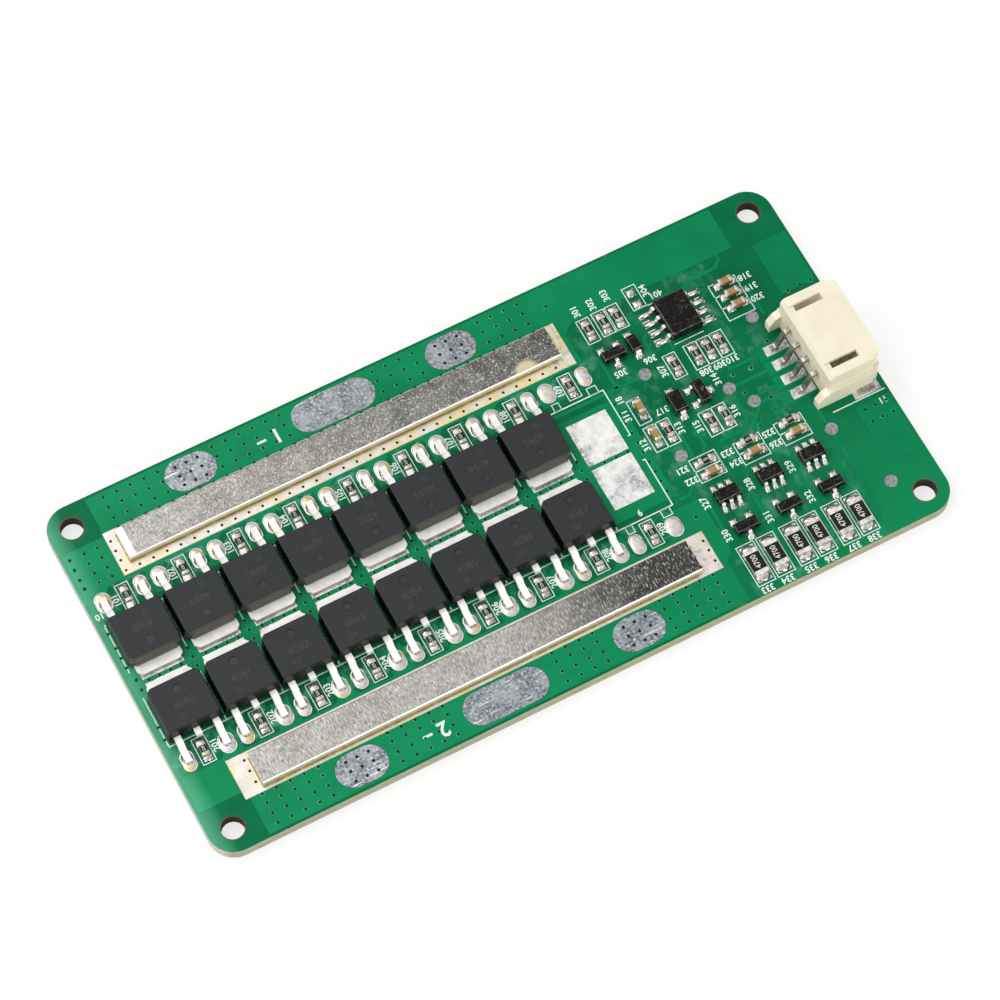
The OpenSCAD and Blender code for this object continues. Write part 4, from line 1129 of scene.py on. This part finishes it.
def chipCodes():
    # plain numbers on the resistors' glaze
    bm = bmesh.new()
    for kind, (text, size) in resistor["codes"].items():
        for box in islands(kind + "_resistor_bodies"):
            x, y = middle(box).xy
            number(bm, text, x, y, size, 90 if isUpright(box) else 0, thinPrint["height"],
                   box[1].z - thinPrint["sink"], 0.9)
    addPiece("chip_codes", bm, "code")


def bareShoulders():
    # the white alumina that shows between a resistor's glaze and its end caps
    bm = bmesh.new()
    wide, inset = resistor["shoulder"], resistor["inset"]
    for kind in resistor["codes"]:
        cap = min(extent(islands(kind + "_resistor_ends")[0]))
        for box in islands(kind + "_resistor_bodies"):
            low, high = box
            x0, x1, y0, y1 = low.x + inset, high.x - inset, low.y + inset, high.y - inset
            if isUpright(box):
                pair = [(x0, y, x1, y + wide) for y in (low.y + cap - wide, high.y - cap)]
            else:
                pair = [(x, y0, x + wide, y1) for x in (low.x + cap - wide, high.x - cap)]
            for corners in pair:
                plate(bm, rectangle(*corners), thinPrint["height"], high.z - thinPrint["sink"])
    addPiece("bare_alumina_shoulders", bm, "code")


tinnedLands()
leadSolder()
chipSolder()
fluxLines()
chipCodes()
bareShoulders()
print("lands and solder ready")


# Moulded parts and metal

dimple = {"inset": 1.5, "across": 1.0, "flat": 0.82, "depth": 0.08}      # mm
easing = {"mould": 0.1, "mouldFrom": 0.7, "bar": 0.3}                    # mm


def mouldedBodies():
    # eased above the parting line; the top is grained, and the walls are smooth and take the wall finish,
    # whose darker colour is painted shade
    for k in range(1, transistorCount + 1):
        nodeName = "mosfet_body_%d" % k
        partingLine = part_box(nodeName)[0].z + easing["mouldFrom"] * mm
        bm = mergedCopy(nodeName)
        soften(bm, easing["mould"], 0.5, keep=lambda edge: min(v.co.z for v in edge.verts) > partingLine)
        for face in bm.faces:
            face.normal_update()
            face.material_index = 0 if face.normal.z > 0.6 else 1
        piece = addPiece("power_transistor_body_%d" % k, bm, "epoxy", (nodeName,))
        piece.data.materials.append(finish["wallEpoxy"])


def pinPrints():
    # the ejector pin's round print in each power transistor's dimple, and the painted shade of the crease
    # round it
    for name, across, tall, material in (("ejector_pin_crease_shade", dimple["across"], 0.006, "wallEpoxy"),
                                         ("ejector_pin_prints", dimple["flat"], 0.012, "dimple")):
        bm = bmesh.new()
        for x, y, top, side in bodyPlaces():
            disc(bm, x, y + side * dimple["inset"], across, tall, top - dimple["depth"], sides=32, taper=1.0)
        addPiece(name, bm, material)


laser = {                        # first number, size in mm, and place from the body's middle in mm
    "type": (4080, 1.25, (0, -0.35)),
    "batch": (21, 0.9, (-0.9, -1.7)),
}


def laserNumbers():
    bm = bmesh.new()
    height = thinPrint["height"]
    for k, (x, y, top, side) in enumerate(bodyPlaces()):
        for first, size, (dx, dy) in laser.values():
            number(bm, str(first + k), x + side * dx, y + side * dy, size, 0 if side > 0 else 180, height,
                   top - height / 2)
    addPiece("laser_numbers", bm, "mark")


def busBars():
    # the sheared ends are eased on top
    for nodeName in ("upper_bus_bar", "lower_bus_bar"):
        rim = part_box(nodeName)[1].z - 0.05 * mm
        bm = mergedCopy(nodeName)
        soften(bm, easing["bar"], 1.0, 3, lambda edge: min(v.co.z for v in edge.verts) > rim
               and abs(edge.verts[0].co.x - edge.verts[1].co.x) < 0.01 * mm)
        addPiece("eased_" + nodeName, bm, "bar", (nodeName,))


softParts = {                    # finish, slot, easing in mm, and the shortest edge that is eased
    "socket_housing": ("housing", "housing", 0.14, 0.8),
    "control_chip_body": ("smallEpoxy", "small_mould", 0.06, 0.3),
    "monitor_chip_bodies": ("smallEpoxy", "small_mould", 0.05, 0.3),
    "transistor_bodies": ("smallEpoxy", "small_mould", 0.05, 0.3),
    "diode_bodies": ("smallEpoxy", "small_mould", 0.05, 0.3),
    "gate_resistor_ends": ("chipEnd", "chip_end", 0.03, 0.2),
    "signal_resistor_ends": ("chipEnd", "chip_end", 0.03, 0.2),
    "balance_resistor_ends": ("wideEnd", "chip_end", 0.04, 0.2),
    "capacitor_ends": ("chipEnd", "chip_end", 0.05, 0.2),
}


def softenedParts():
    # the small moulds' eased edges take a painted highlight, where flux also gathers
    for nodeName, (material, slotName, width, shortest) in softParts.items():
        bm = mergedCopy(nodeName)
        soften(bm, width, shortest)
        for face in bm.faces:
            face.normal_update()
            face.material_index = 1 if material == "smallEpoxy" and 0.25 < face.normal.z < 0.97 else 0
        piece = addPiece("soft_" + nodeName, bm, material, (nodeName,))
        if material == "smallEpoxy":
            piece.data.materials.append(finish["smallRimHighlight"])


def finishNodes():
    # CAD nodes whose shape is right keep it and take their finish
    plan = {"board": "mask", "gate_resistor_bodies": "resistor", "signal_resistor_bodies": "resistor",
            "balance_resistor_bodies": "resistor", "capacitor_bodies": "capacitor",
            "control_chip_leads": "lead", "monitor_chip_leads": "lead", "transistor_leads": "lead",
            "diode_leads": "lead", "socket_contacts": "contact", "socket_anchors": "contact"}
    for k in range(1, transistorCount + 1):
        plan["mosfet_frame_%d" % k] = "tab"
    for nodeName, material in plan.items():
        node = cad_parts[nodeName]
        node.data.materials.clear()
        node.data.materials.append(finish[material])


mouldedBodies()
pinPrints()
laserNumbers()
busBars()
softenedParts()
finishNodes()
print("parts ready")
